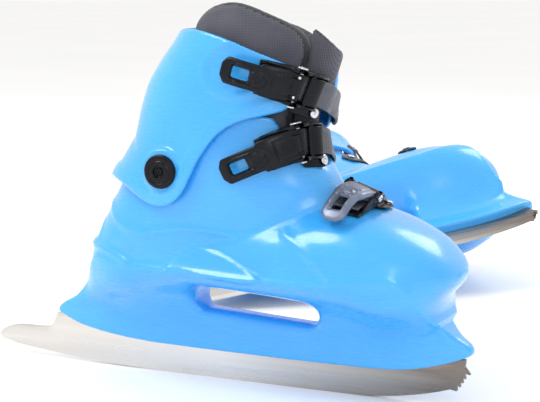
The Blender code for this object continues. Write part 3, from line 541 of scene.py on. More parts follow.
def cuff_piece(tracks):
    """The hinged cuff with its hinge bosses and raised border."""
    step = 1.25
    grid = Grid((-124, -58, 122), (46, 58, 250), step)
    outer = shaft_field(grid)
    inner = outer + CUFF_WALL
    from_pivot = np.hypot(grid.x - PIVOT[0], grid.z - PIVOT[1]) + 0 * grid.y
    boss = smax(from_pivot - 15.0, np.abs(grid.y) - BOSS_FACE, 2.0)
    outer = smin(outer, boss, 2.5)
    borders = {}
    for side in (-1, 1):
        outline = rounded_outline(CUFF_BACK + CUFF_FRONTS[side], 1)
        borders[side] = outline_distance(outline, grid.x, grid.z)
    border = np.where(grid.y < 0, borders[-1], borders[1])
    low = 1 - smooth(grid.z - 0.35 * (grid.x + 20), 196, 214)
    outer = outer - 0.9 * smooth(border, -10.5, -8.0) * low
    well = smooth(from_pivot, 11.5, 12.5) * (1 - smooth(from_pivot, 13.0, 14.5))
    outer = outer + 0.5 * well
    seat = tracks["cuff"].place(-39.0, 1.0, 0.0)
    lean = math.radians(-14)
    du = (grid.x - seat.x) * math.cos(lean) - (grid.z - seat.z) * math.sin(lean)
    dv = (grid.x - seat.x) * math.sin(lean) + (grid.z - seat.z) * math.cos(lean)
    oval = np.hypot(du / 23.0, dv / 16.5)
    flank = smooth(-grid.y, 5, 15)
    outer = outer + 1.1 * (1 - smooth(oval, 0.80, 1.02)) * flank
    outer = outer - 0.5 * np.exp(-((oval - 1.08) / 0.07) ** 2) * flank
    crease = ridge(grid, ((-96.0, 240.0), (-100.0, 214.0), (-100.0, 190.0), (-92.0, 168.0),
                          (-78.0, 160.0)), 3.5)
    outer = outer + 0.8 * crease
    field = smax(outer, -inner, 1.0)
    field = smax(field, border, 1.6)
    points, faces = grid.mesh(field, 3)
    both("cuff_moulding", points, faces, "shell", "cuff", ["cuff"])


def pivot_piece(side_name, side):
    """A hinge bolt's round cap with its turned rings and socket."""
    grid = Grid((-13, -13, -12), (13, 13, 6), 0.5)
    r = np.hypot(grid.x, grid.y)
    dome = 3.6 - 0.7 * (r / 11.5) ** 2
    cap = smax(np.maximum(r - 11.5, -grid.z), grid.z - dome, 1.6)
    groove = np.exp(-((r - 7.6) / 0.55) ** 2) * (grid.z > 1)
    cap = cap + 0.8 * groove
    socket = np.maximum(r - 4.2, 1.2 - grid.z)
    cap = smax(cap, -socket, 0.7)
    hub = smax(np.maximum(r - 2.3, grid.z - 2.5), -grid.z - 10.5, 0.6)
    hub = smax(hub, -(np.maximum(r - 1.0, 1.4 - grid.z)), 0.4)
    shank = np.maximum(r - 4.0, np.maximum(grid.z - 0.5, -grid.z - 10.5))
    field = np.minimum(np.minimum(cap, hub), shank)
    points, faces = grid.mesh(field, 2)
    out = np.stack([points[:, 0] + PIVOT[0], side * (points[:, 2] + BOSS_FACE + 0.35),
                    points[:, 1] + PIVOT[1]], 1)
    faces = faces if side < 0 else faces[:, ::-1]
    both("hinge_cap_" + side_name, out, faces, "black", "boot",
         ["pivot_bolt_" + side_name])


# ---------------------------------------------------------------- strap tracks
def loft_tree(rings):
    """A search tree of a lofted surface."""
    count = len(rings[0])
    faces = []
    for k in range(len(rings) - 1):
        for i in range(count):
            j = (i + 1) % count
            faces.append((k * count + i, k * count + j, (k + 1) * count + j, (k + 1) * count + i))
    return bvhtree.BVHTree.FromPolygons([Vector(p) for ring in rings for p in ring], faces)


def signed_power(value, exponent):
    """A power that keeps the sign of its base."""
    return np.sign(value) * np.abs(value) ** exponent


def boot_tree():
    """A search tree of the boot's bare outer face."""
    angles = np.linspace(0, 2 * np.pi, 72, endpoint=False)
    rings = []
    for bx, bz, fx, fz, half, roundness, skew in spline_rows(BOOT_STATIONS,
                                                             np.linspace(0, 1, 70)):
        u = signed_power(np.cos(angles), 2 / roundness)
        v = signed_power(np.sin(angles), 2 / roundness)
        rings.append(np.stack([(bx + fx) / 2 + (fx - bx) / 2 * u, half * v * (1 - skew * u),
                               (bz + fz) / 2 + (fz - bz) / 2 * u], 1))
    return loft_tree(rings)


def shaft_tree():
    """A search tree of the cuff's bare outer face."""
    angles = np.linspace(0, 2 * np.pi, 72, endpoint=False)
    rings = []
    for z in np.linspace(124.5, 262.0, 40):
        back, front, half = rows_at(CUFF_STATIONS, z)
        rings.append(np.stack([(back + front) / 2
                               + (front - back) / 2 * signed_power(np.cos(angles), 0.9),
                               half * signed_power(np.sin(angles), 0.9),
                               np.full(72, z)], 1))
    return loft_tree(rings)


class Track:
    """The line that a strap and its buckle follow; see place."""

    def __init__(self, tree, centre, front, rise, hinge, span):
        self.tree = tree
        self.points, self.outward = [], []
        steps = int(span[1] - span[0]) // 3
        for i in range(steps + 1):
            degrees = span[0] + (span[1] - span[0]) * i / steps
            angle = math.radians(degrees)
            look = (Vector(front).normalized() * math.cos(angle)
                    + Vector((0, 1, 0)) * math.sin(angle))
            start = Vector(centre) + Vector((0, 0, rise(degrees)))
            self.points.append(tree.ray_cast(start + look * 300, -look)[0])
            self.outward.append(look)
        self.lengths = [0.0]
        for a, b in zip(self.points, self.points[1:]):
            self.lengths.append(self.lengths[-1] + (b - a).length)
        at_hinge = (hinge - span[0]) / (span[1] - span[0]) * steps
        i = int(at_hinge)
        zero = self.lengths[i] + (self.lengths[i + 1] - self.lengths[i]) * (at_hinge - i)
        self.lengths = [length - zero for length in self.lengths]
        self.across = []
        for s, look in zip(self.lengths, self.outward):
            level = -self.direction(s).cross(look).normalized()
            sides = [tree.ray_cast(self.read(self.points, s) + level * v + look * 30, -look)
                     for v in (-8.0, 8.0)]
            self.across.append((sides[1][0] - sides[0][0]).normalized())
        self.rises = {}

    def read(self, values, s):
        """A value between the track's points."""
        last = len(values) - 2
        i = next((k for k in range(last) if self.lengths[k + 1] > s), last)
        f = (s - self.lengths[i]) / (self.lengths[i + 1] - self.lengths[i])
        return values[i].lerp(values[i + 1], f)

    def direction(self, s):
        """The direction along the track."""
        reach = 5.0
        return (self.read(self.points, s + reach) - self.read(self.points, s - reach)).normalized()

    def at(self, u):
        """The surface point, and the directions along, across and away from the surface."""
        reach = 5.0
        point = (self.read(self.points, u - reach) + self.read(self.points, u + reach)
                 + 2 * self.read(self.points, u)) / 4
        along = self.direction(u)
        tilt = sum((self.read(self.across, u + step) for step in (-6, -3, 0, 3, 6)), Vector())
        across = (tilt - along * tilt.dot(along)).normalized()
        return point, along, across, -across.cross(along)

    def place(self, u, v, w):
        """The point at u along the strap from the lever's hinge, v across, and w outwards."""
        point, _, across, away = self.at(u)
        return point + across * v + away * w

    def rise(self, u, v):
        """How far the surface under (u, v) stands above the tangent plane."""
        point, _, across, away = self.at(u)
        start = point + across * v + away * 25.0
        hit = self.tree.ray_cast(start, -away)[0]
        return (hit - point).dot(away) if hit else 0.0

    def bend(self, points, follow=None):
        """Points (u, v, w) carried to the track; follow says how far each keeps to the surface."""
        us = np.linspace(points[:, 0].min(), points[:, 0].max(), 80)
        rows = [self.at(u) for u in us]
        table = np.array([[*p, *ac, *aw] for p, _, ac, aw in rows])
        here = np.stack([np.interp(points[:, 0], us, table[:, k]) for k in range(9)], 1)
        height = points[:, 2].copy()
        if follow is not None:
            vs = np.linspace(points[:, 1].min(), points[:, 1].max(), 9)
            rises = np.array([[self.rise(u, v) for v in vs] for u in us])
            iu = np.clip((points[:, 0] - us[0]) / (us[1] - us[0]), 0, len(us) - 1.001)
            iv = np.clip((points[:, 1] - vs[0]) / (vs[1] - vs[0]), 0, len(vs) - 1.001)
            a, b = iu.astype(int), iv.astype(int)
            fu, fv = iu - a, iv - b
            lift = (rises[a, b] * (1 - fu) * (1 - fv) + rises[a + 1, b] * fu * (1 - fv)
                    + rises[a, b + 1] * (1 - fu) * fv + rises[a + 1, b + 1] * fu * fv)
            height = height + lift * follow(points)
        return here[:, 0:3] + here[:, 3:6] * points[:, 1:2] + here[:, 6:9] * height[:, None]


def make_tracks():
    """The three strap tracks, on the bare forms of the boot and the cuff."""
    boot, shaft = boot_tree(), shaft_tree()

    def cuff_rise(degrees):
        return 3.2 - 0.213 * degrees if degrees < -38 else 11.3 - 0.36 * (degrees + 38)

    def ankle_rise(degrees):
        return -0.3 * max(0.0, degrees + 24.0)

    return {
        "cuff": Track(shaft, (-14, 0, 200), (1, 0, 0), cuff_rise, -36.0, (-105, 66)),
        "ankle": Track(boot, (-22, 0, 147.2), (63, 0, 31), ankle_rise, -24.0, (-108, 90)),
        "toe": Track(boot, (55, 0, 90), (0.27, 0, 1), lambda d: 0.0, -5.0, (-84, 84)),
    }


# ---------------------------------------------------------------- buckles
def block(grid, low, high, soft=0.6):
    """Distance from a box between two corners, with rounded edges."""
    parts = []
    for values, a, b in zip((grid.x, grid.y, grid.z), low, high):
        parts.append(np.maximum(a + soft - values, values - b + soft))
    outside = np.sqrt(sum(np.maximum(part, 0) ** 2 for part in parts))
    return outside + np.minimum(np.maximum(np.maximum(parts[0], parts[1]), parts[2]), 0) - soft


def lever_field(grid, tail, arch):
    """The ratchet lever before it is bent to its track: X along, Y across, Z outwards."""
    u, v, w = grid.x, grid.y, grid.z
    sink = np.clip((-u - 16.0) / (tail - 16.0), 0, 1)
    bow = arch * np.clip(1 - ((u + tail * 0.42) / (tail * 0.56)) ** 2, 0, 1)
    top = LEVER_HIGH + 0.6 - sink * (LEVER_SINK - 0.4) + bow
    low = LEVER_LOW - sink * LEVER_SINK + bow * 0.7
    step = smooth(-u, tail * 0.44, tail * 0.44 + 2.5)
    half = LEVER_WIDTH / 2 + 0.6 - 1.5 * step
    clip = (np.abs(v) - half) * 0.62 + (-u - tail) * 0.78 + 2.6
    plan = smax(smax(np.abs(v) - half + 0 * u, -u - tail, 1.2), clip, 0.8)
    plan = smax(plan, u + 1.2, 1.0)
    crown = top - 0.012 * np.abs(v) ** 2
    plate = smax(smax(plan, w - crown, 1.4), low + 1.0 - w, 0.8)
    skirt = smax(np.maximum(plan, half - 2.0 - np.abs(v)), low - w, 0.8)
    skirt = smax(skirt, w - top + 1.6, 0.8)
    body = smin(plate, skirt, 0.8)
    barrel = np.hypot(u, w - AXLE_HEIGHT) - 2.9
    barrel = smax(barrel, np.abs(v) - LEVER_WIDTH / 2 + 0.4, 0.8)
    body = smin(body, barrel, 0.8)
    depth = np.clip(w - top + 2.6, 0, 4)
    well_u = np.abs(u + tail - 12.5) - 5.4 - 0.75 * depth
    well_v = np.abs(v) - 3.6 - 0.55 * depth
    body = smax(body, -smax(well_u, well_v, 1.2), 0.5)
    rail_v = np.abs(np.abs(v) - 5.5 + 0.045 * (u + tail - 18)) - 0.55
    rails = smax(smax(rail_v, np.abs(u + tail - 18.0) - 8.0, 1.0), w - top - 0.5, 0.6)
    body = smin(body, smax(rails, top - 2.0 - w, 0.5), 0.5)
    at = -tail * 0.5
    around = np.hypot(u - at, v)
    groove = np.hypot(around - 5.4, w - top) - 0.75
    body = smax(body, -groove, 0.4)
    ring = np.hypot(around - 3.4, w - top + 0.1) - 0.5
    body = smin(body, ring, 0.4)
    pad = np.maximum(np.abs(u + 9.0) - 4.8, np.abs(v) - 5.8)
    moat = np.maximum(np.abs(pad - 0.5) - 0.4, top - 0.8 - w)
    body = smax(body, -moat, 0.3)
    knurl = np.sin(u * 3.6) * np.sin(v * 3.6) * (w > top - 1.5)
    body = body + 0.2 * knurl * (pad < 0)
    for side in (-1, 1):
        slot = np.maximum(np.abs(u + 1.6) - 2.4, np.abs(v - side * 6.6) - 0.9)
        body = smax(body, -np.maximum(slot, top - 2.0 - w), 0.3)
    return body


def lever_piece(kind, track, arch):
    """One lever."""
    tail = TAILS[kind]
    step = 0.55
    grid = Grid((-tail - 2, -12.5, 3.5), (5, 12.5, 20.0), step)
    points, faces = grid.mesh(lever_field(grid, tail, arch), 1)
    name = kind + "_lever"
    finish = "silver" if kind == "toe" else "black"
    both(name + "_arm", track.bend(points), faces, finish, name, [name])


def base_field(grid):
    """The buckle's floor, cheeks and flange."""
    u, v, w = grid.x, grid.y, grid.z
    half = BASE_INSIDE / 2
    floor = block(grid, (BASE_BACK, -half - 1.4, 0.9), (BASE_FRONT, half + 1.4, FLOOR_HIGH), 0.5)
    flange = smax(np.hypot(np.maximum(np.abs(u - 14.0) - 6.0, 0), np.minimum(v + 10.5, 0)) - 7.0,
                  np.abs(w - 1.65) - 0.75, 0.4)
    flange = np.maximum(flange, v + half - 1)
    body = smin(floor, flange, 0.8)
    top = 11.8 - 0.0215 * (u - 2.0) ** 2
    cheek = smax(np.abs(np.abs(v) - half - CHEEK / 2) - CHEEK / 2, w - top, 0.8)
    cheek = smax(cheek, 1.2 - w, 0.4)
    boss = smax(np.hypot(u, w - AXLE_HEIGHT + 1.5) - 6.2,
                np.abs(np.abs(v) - half - CHEEK / 2) - CHEEK / 2 - 0.35, 0.5)
    cheek = smin(cheek, np.maximum(boss, 1.2 - w), 0.6)
    for turn in range(5):
        angle = math.radians(20 + 72 * turn)
        hole = np.hypot(u - 4.1 * math.cos(angle), w - 8.0 - 4.1 * math.sin(angle)) - 0.85
        cheek = np.maximum(cheek, -np.maximum(hole, half + CHEEK - 0.5 - np.abs(v)))
    body = smin(body, cheek, 1.2)
    bore = np.hypot(u, w - AXLE_HEIGHT) - 1.85
    body = np.maximum(body, -bore + 0 * v)
    pawl_bore = np.hypot(u - 8.0, w - 8.6) - 1.65
    return np.maximum(body, -pawl_bore + 0 * v)


def base_piece(kind, track):
    """One buckle base."""
    step = 0.6
    grid = Grid((BASE_BACK - 2, -19, -0.5), (BASE_FRONT + 2, 14, 13.5), step)
    points, faces = grid.mesh(base_field(grid), 1)

    def hold(p):
        return 1 - smooth(p[:, 2], 2.0, 8.0)

    name = kind + "_base"
    both(name + "_frame", track.bend(points, hold), faces, "black",
         "cuff" if kind == "cuff" else "boot", [name])


def axle_piece(kind, track):
    """The lever's steel axle, with a domed and drilled head outside each cheek."""
    grid = Grid((-3.6, -14.5, 5.8), (3.6, 14.5, 13.2), 0.35)
    r = np.hypot(grid.x, grid.z - AXLE_HEIGHT)
    out = np.abs(grid.y)
    head = smax(r - 2.6, np.abs(out - 12.9) - 0.75, 0.5)
    head = smax(head, -np.maximum(r - 1.0, 13.0 - out), 0.3)
    field = np.minimum(head, np.maximum(r - 1.5, out - 13.0))
    points, faces = grid.mesh(field, 1)
    both(kind + "_axle_pin", track.bend(points), faces, "steel",
         "cuff" if kind == "cuff" else "boot", [kind + "_axle"])


def pawl_piece(kind, track):
    """The sprung catch under the lever's hinge."""
    grid = Grid((4, -13.5, 4), (18, 13.5, 13), 0.6)
    u, v, w = grid.x, grid.y, grid.z
    tooth = smax(np.abs(v) - 9.3, np.abs(u - 11.0) - 5.0, 1.0)
    body = smax(tooth, np.abs(w - 8.8 + 0.06 * (u - 11) ** 2) - 1.9, 0.8)
    comb = 0.35 * np.cos(u * 3.0) * (w < 8.2)
    pin = smax(np.hypot(u - 8.0, w - 8.6) - 1.3, np.abs(v) - 12.2, 0.3)
    points, faces = grid.mesh(np.minimum(body + comb, pin), 1)
    both(kind + "_catch_body", track.bend(points), faces, "black",
         kind + "_catch", [kind + "_pawl"])


def strap_piece(kind, track):
    """The ladder strap with lengthwise ribs, cross teeth under the catch, and a round end."""
    anchor = ANCHORS[kind]
    us = np.arange(-20.0, anchor + 7.5, 0.8)
    half = STRAP_WIDTH / 2
    vs = np.linspace(-half, half, 37)
    thick = STRAP_HIGH - STRAP_LOW
    rows_top, rows_low = [], []
    for u in us:
        point, _, across, away = track.at(u)
        settle = float(smooth(u, BASE_FRONT + 2.0, BASE_FRONT + 14.0))
        end = max(0.0, u - anchor)
        width = math.sqrt(max(0.0, 1 - (end / 7.6) ** 2))
        width = width * 0.8 + 0.2 if end > 0 else 1.0
        clear = float(smooth(abs(u), 4.0, 8.0))
        tooth = 0.35 * max(0.0, math.sin(u * 2 * math.pi / 2.6)) * (1 - settle) * clear
        top, low = [], []
        for v in vs:
            v = v * width
            rise = track.rise(u, v)
            edge = min(1.0, (half * width - abs(v)) / 1.1)
            ribs = 0.28 * (0.5 + 0.5 * math.cos(v * 2 * math.pi / 2.2)) * (abs(v) < half - 1.6)
            ribs = ribs * clear if u < anchor - 9 else 0.0
            flat = max(STRAP_LOW, rise + FLOOR_HIGH + 0.7)
            base = flat * (1 - settle) + (rise + STRAP_REST) * settle
            round_edge = 0.55 + 0.45 * math.sqrt(max(0.0, edge))
            upper = base + thick * round_edge * (0.7 + 0.3 * clear) + ribs * 0.8
            upper += tooth * (abs(v) < half - 3)
            top.append(point + across * v + away * upper)
            low.append(point + across * v + away * base)
        rows_top.append(top)
        rows_low.append(low)
    count = len(vs)
    points = [p for row in rows_top for p in row] + [p for row in rows_low for p in row]
    lower = len(us) * count
    faces = []
    for i in range(len(us) - 1):
        for j in range(count - 1):
            a = i * count + j
            faces.append((a, a + count, a + count + 1, a + 1))
            faces.append((lower + a, lower + a + 1, lower + a + count + 1, lower + a + count))
        for j, flip in ((0, True), (count - 1, False)):
            a = i * count + j
            side = (a, a + count, lower + a + count, lower + a)
            faces.append(side[::-1] if flip else side)
    for i, flip in ((0, False), (len(us) - 1, True)):
        for j in range(count - 1):
            a = i * count + j
            end = (a, a + 1, lower + a + 1, lower + a)
            faces.append(end[::-1] if flip else end)
    faces = np.array(faces)[:, ::-1]
    both(kind + "_ladder_strap", np.array([tuple(p) for p in points]), faces, "strap",
         "cuff" if kind == "cuff" else "boot", [kind + "_strap"])


def rivet_piece(name, track, u, v, top, body, node):
    """A round rivet with a dimple in its head."""
    grid = Grid((-4.6, -4.6, -3.4), (4.6, 4.6, 3.4), 0.4)
    r = np.hypot(grid.x, grid.y)
    head = smax(np.maximum(r - 3.6, 0.6 - grid.z), grid.z - 2.0 + 0.03 * r ** 2, 0.6)
    head = smax(head, -(r + 0 * grid.z - 1.3 + (2.2 - grid.z) * 0.9), 0.3)
    shank = np.maximum(r - 2.0, np.maximum(grid.z - 1.0, -grid.z - 3.0))
    points, faces = grid.mesh(np.minimum(head, shank), 1)
    point, along, across, away = track.at(u)
    lift = track.rise(u, v) + top
    basis = np.array([tuple(along), tuple(across), tuple(away)])
    local = points + np.array([0.0, v, lift])
    placed = local @ basis + np.array(tuple(point))
    flip = np.linalg.det(basis) < 0
    both(name, placed, faces[:, ::-1] if flip else faces, "steel", body, [node])


def buckles(tracks):
    """All three buckles."""
    arches = {"cuff": 1.6, "ankle": 3.6, "toe": 3.6}
    for kind, track in tracks.items():
        body = "cuff" if kind == "cuff" else "boot"
        lever_piece(kind, track, arches[kind])
        base_piece(kind, track)
        axle_piece(kind, track)
        pawl_piece(kind, track)
        strap_piece(kind, track)
        strap_top = STRAP_REST + STRAP_HIGH - STRAP_LOW
        rivet_piece(kind + "_strap_stud", track, ANCHORS[kind], 0.0, strap_top, body,
                    kind + "_strap_rivet")
        rivet_piece(kind + "_base_stud", track, BASE_RIVET[0], BASE_RIVET[1], FLOOR_HIGH, body,
                    kind + "_base_rivet")


# ---------------------------------------------------------------- blade
def blade_outline():
    """The runner's outline in the XZ plane."""
    tail = spline_rows(((-171.0, 34.0), (-175.5, 24.5), (-186.0, 22.4), (-203.0, 22.0),
                        (-214.5, 19.3), (-220.6, 14.2), (-217.5, 10.0)), np.linspace(0, 1, 40))
    outline = [tuple(p) for p in tail]
    for x in np.linspace(-213.0, FLAT_SPAN[0], 40):
        lift = ROCKER_TAIL * (FLAT_SPAN[0] - x) ** 2
        outline.append((x, lift + 1.2 * float(smooth(-x, 205, 216))))
    for x in np.linspace(FLAT_SPAN[1], 124.0, 26):
        outline.append((x, ROCKER_TOE * (x - FLAT_SPAN[1]) ** 2))
    outline += PICK_EDGE
    return outline + list(reversed(BLADE_TOP_EDGE))


def blade_piece():
    """The steel runner, with its edges just broken."""
    bm = bmesh.new()
    half = BLADE_THICKNESS / 2
    outline = blade_outline()
    rings = [[bm.verts.new((x, y, z)) for x, z in outline] for y in (-half, half)]
    count = len(outline)
    for i in range(count):
        j = (i + 1) % count
        bm.faces.new((rings[0][i], rings[0][j], rings[1][j], rings[1][i]))
    bm.faces.new(rings[0])
    bm.faces.new(rings[1])
    bmesh.ops.recalc_face_normals(bm, faces=bm.faces)
    rims = [e for e in bm.edges if abs(e.verts[0].co.y - e.verts[1].co.y) < 0.01]
    bmesh.ops.bevel(bm, geom=rims, offset=0.22, segments=2, profile=0.6, affect="EDGES",
                     clamp_overlap=True)
    bmesh.ops.triangulate(bm, faces=bm.faces)
    points = np.array([tuple(v.co) for v in bm.verts])
    faces = np.array([[v.index for v in f.verts] for f in bm.faces])
    bm.free()
    for piece in both("blade_runner", points, faces, "blade", "boot", ["blade"]):
        piece.data.set_sharp_from_angle(angle=math.radians(35))


# ---------------------------------------------------------------- padded inner boot
def lining_fields(grid):
    """The liner's outer face: the boot's form below, the cuff's above, softly joined."""
    boot = boot_field(grid) + LINER_OUT
    shaft = shaft_field(grid) + LINER_SHAFT_OUT
    share = smooth(grid.z, 196.0, 222.0)
    return boot * (1 - share) + shaft * share


def tongue_arcs(grid, grow):
    """Distance from the tongue's crescent, and how far inward of its face each point lies."""
    rows = spline_rows(TONGUE_STATIONS, np.linspace(0, 1, 120))
    line = rows[:, :2]
    tangent = np.gradient(line, axis=0)
    tangent /= np.linalg.norm(tangent, axis=1)[:, None]
    inward = np.stack([tangent[:, 1], -tangent[:, 0]], 1)
    x, z = np.broadcast_arrays(grid.x[:, 0, :], grid.z[:, 0, :])
    dx = x.ravel()[:, None] - line[:, 0]
    dz = z.ravel()[:, None] - line[:, 1]
    down = dx * tangent[:, 0] + dz * tangent[:, 1]
    k = np.abs(down).argmin(1)
    pick = np.arange(len(k))
    shape = (grid.x.shape[0], 1, grid.z.shape[2])
    back = (dx * inward[:, 0] + dz * inward[:, 1])[pick, k].reshape(shape)
    over = np.where(k == 0, -down[pick, 0], np.where(k == 119, down[pick, 119], -9.0))
    over = over.reshape(shape)
    width, depth = rows[k, 2].reshape(shape), rows[k, 3].reshape(shape)
    radius = np.hypot((back - depth) / depth, grid.y / (width + 0.0))
    shell = np.abs((radius - 1) * depth + 2.2) - 2.3 - grow
    shell = smax(shell, back - depth * 0.86 - grow + 0 * grid.y, 2.5)
    return smax(shell, over - grow + 0 * grid.y, 4.0)


def puff(piece, pressure, cap):
    """Swell a padded piece with a short cloth run, and keep every point within a cap."""
    rest = np.empty(len(piece.data.vertices) * 3)
    piece.data.vertices.foreach_get("co", rest)
    cloth = piece.modifiers.new("cloth", "CLOTH")
    cloth.settings.use_pressure = True
    cloth.settings.uniform_pressure_force = pressure
    cloth.settings.effector_weights.gravity = 0
    cloth.settings.tension_stiffness = 20
    cloth.settings.bending_stiffness = 2.0
    cloth.settings.quality = 4
    scene = bpy.context.scene
    for number in range(1, 13):
        scene.frame_set(number)
    swollen = piece.evaluated_get(bpy.context.evaluated_depsgraph_get())
    moved = np.empty_like(rest)
    swollen.data.vertices.foreach_get("co", moved)
    piece.modifiers.remove(cloth)
    scene.frame_set(1)
    shift = (moved - rest).reshape(-1, 3)
    length = np.linalg.norm(shift, axis=1, keepdims=True)
    shift *= np.minimum(1, cap / np.maximum(length, 1e-9))
    piece.data.vertices.foreach_set("co", (rest.reshape(-1, 3) + shift).ravel())
    piece.data.update()


def liner_trim(x, y, z):
    """Distance from the liner's trimmed edge, which runs lower on the medial side."""
    outline = rounded_outline(LINER_TRIM, 1)
    low = outline_distance(outline, x, z + MEDIAL_DROP)
    high = outline_distance(outline, x, z)
    share = smooth(y, -18.0, 26.0) * smooth(z, 215.0, 235.0)
    return high * (1 - share) + low * share


def tongue_trim(x, y, z):
    """Distance above the tongue's top, which slopes down to the front and medially."""
    return (z - 251.0 + 0.75 * (x - 32.0) + 0.42 * (y + 12.0)) / 1.32


def liner_piece():
    """The padded inner boot: a thick wall with a rolled top edge, open in front."""
    step = 1.9
    grid = Grid((-134, -50, 66), (140, 50, 268), step)
    outer = lining_fields(grid)
    wall = smax(outer, -(outer + LINER_THICK), 3.0)
    trim = liner_trim(grid.x, grid.y, grid.z)
    rim = np.exp(-((trim - 3.5) / 2.6) ** 2)
    wall = smax(wall - 0.9 * rim, -trim + 0 * grid.y, 4.5)
    gap = tongue_arcs(grid, 0.7)
    wall = smax(wall, -gap, 1.5)
    wall = np.maximum(wall, 71.9 + 1.0 - grid.z)
    return grid.mesh(wall, 2)


def bind_edge(piece, trim, width):
    """Give a padded piece's faces near its trimmed edge the dark binding."""
    piece.data.materials.append(MATERIALS["binding"])
    points = np.empty(len(piece.data.vertices) * 3)
    piece.data.attributes["place"].data.foreach_get("vector", points)
    points = points.reshape(-1, 3) / MM
    points[:, 1] *= 1 if piece.name.startswith("right") else -1
    away = np.abs(trim(points[:, 0], points[:, 1], points[:, 2]))
    corners = np.array([face.vertices[:] for face in piece.data.polygons])
    edge = away[corners].mean(axis=1) < width
    piece.data.polygons.foreach_set("material_index", edge.astype(np.int32))


def padded_pieces():
    """The liner, its tongue and the footbed, with dark binding along the liner's and the tongue's
    trimmed edges.
    """
    points, faces = liner_piece()
    for piece in both("liner_pad", points, faces, "fabric", None, ["liner"]):
        bind_edge(piece, liner_trim, 2.0)
        soften(piece, 2.5)
    step = 1.6
    grid = Grid((8, -28, 140), (66, 28, 262), step)
    field = tongue_arcs(grid, 0.0)
    field = smax(field, np.abs(grid.y) - 21.0 + 0 * field, 3.0)
    field = smax(field, tongue_trim(grid.x, grid.y, grid.z), 3.5)
    points, faces = grid.mesh(field, 2)
    for piece in both("tongue_pad", points, faces, "fabric", None, ["tongue"]):
        bind_edge(piece, tongue_trim, 2.0)
        soften(piece, 1.2)
    grid = Grid((-114, -34, 77), (104, 34, 85), 1.6)
    u = (grid.x + 6.0) / 105.0
    radius = np.sqrt(u * u + (grid.y / (26 * (1 + 0.16 * np.clip(u, -1, 1)))) ** 2)
    plan = grid.level((radius - 1) * 26 + 0 * grid.z)
    slab = smax(plan, np.abs(grid.z - FOOTBED_HIGH + 1.3) - 1.3, 1.2)
    points, faces = grid.mesh(slab, 1)
    for piece in both("footbed_pad", points, faces, "felt", "boot", ["footbed"]):
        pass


def soften(piece, cap):
    """Puff a padded piece, then bake its transform into its points."""
    puff(piece, 3.0, cap * MM)
    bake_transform(piece)


# ---------------------------------------------------------------- materials
class Nodes:
    """A material under construction."""

    def __init__(self, name):
        self.material = bpy.data.materials.new(name)
        self.material.use_nodes = True
        self.tree = self.material.node_tree
        self.shader = self.tree.nodes["Principled BSDF"]
        self.place = self.add("ShaderNodeAttribute", attribute_name="place").outputs["Vector"]

    def add(self, kind, **values):
        node = self.tree.nodes.new(kind)
        for key, value in values.items():
            setattr(node, key, value)
        return node

    def link(self, source, target):
        self.tree.links.new(source, target)

    def set(self, **values):
        for key, value in values.items():
            self.shader.inputs[key.replace("_", " ")].default_value = value

    def noise(self, scale, detail=3.0, stretch=(1, 1, 1)):
        mapping = self.add("ShaderNodeMapping")
        mapping.inputs["Scale"].default_value = stretch
        self.link(self.place, mapping.inputs["Vector"])
        texture = self.add("ShaderNodeTexNoise")
        texture.inputs["Scale"].default_value = scale
        texture.inputs["Detail"].default_value = detail
        self.link(mapping.outputs["Vector"], texture.inputs["Vector"])
        return texture.outputs["Fac"]

    def wave(self, scale, direction, distortion=0.0):
        texture = self.add("ShaderNodeTexWave", bands_direction=direction)
        texture.inputs["Scale"].default_value = scale
        texture.inputs["Distortion"].default_value = distortion
        self.link(self.place, texture.inputs["Vector"])
        return texture.outputs["Fac"]

    def ramp(self, source, stops):
        node = self.add("ShaderNodeValToRGB")
        elements = node.color_ramp.elements
        while len(elements) < len(stops):
            elements.new(0.5)
        for element, (position, colour) in zip(elements, stops):
            element.position = position
            element.color = colour if len(colour) == 4 else (*colour, 1.0)
        self.link(source, node.inputs["Fac"])
        return node.outputs["Color"]

    def math(self, operation, first, second):
        node = self.add("ShaderNodeMath", operation=operation)
        for index, value in enumerate((first, second)):
            if isinstance(value, (int, float)):
                node.inputs[index].default_value = value
            else:
                self.link(value, node.inputs[index])
        return node.outputs["Value"]

    def axis(self, name):
        node = self.add("ShaderNodeSeparateXYZ")
        self.link(self.place, node.inputs["Vector"])
        return node.outputs[name]

    def bump(self, height, strength, distance):
        node = self.add("ShaderNodeBump")
        node.inputs["Strength"].default_value = strength
        node.inputs["Distance"].default_value = distance
        self.link(height, node.inputs["Height"])
        self.link(node.outputs["Normal"], self.shader.inputs["Normal"])

    def colour(self, source):
        self.link(source, self.shader.inputs["Base Color"])

    def roughness(self, source):
        self.link(source, self.shader.inputs["Roughness"])


def srgb(red, green, blue):
    """A display colour from 0 to 255, as linear light."""
    values = []
    for value in (red, green, blue):
        value = value / 255
        values.append(value / 12.92 if value < 0.04045 else ((value + 0.055) / 1.055) ** 2.4)
    return tuple(values)


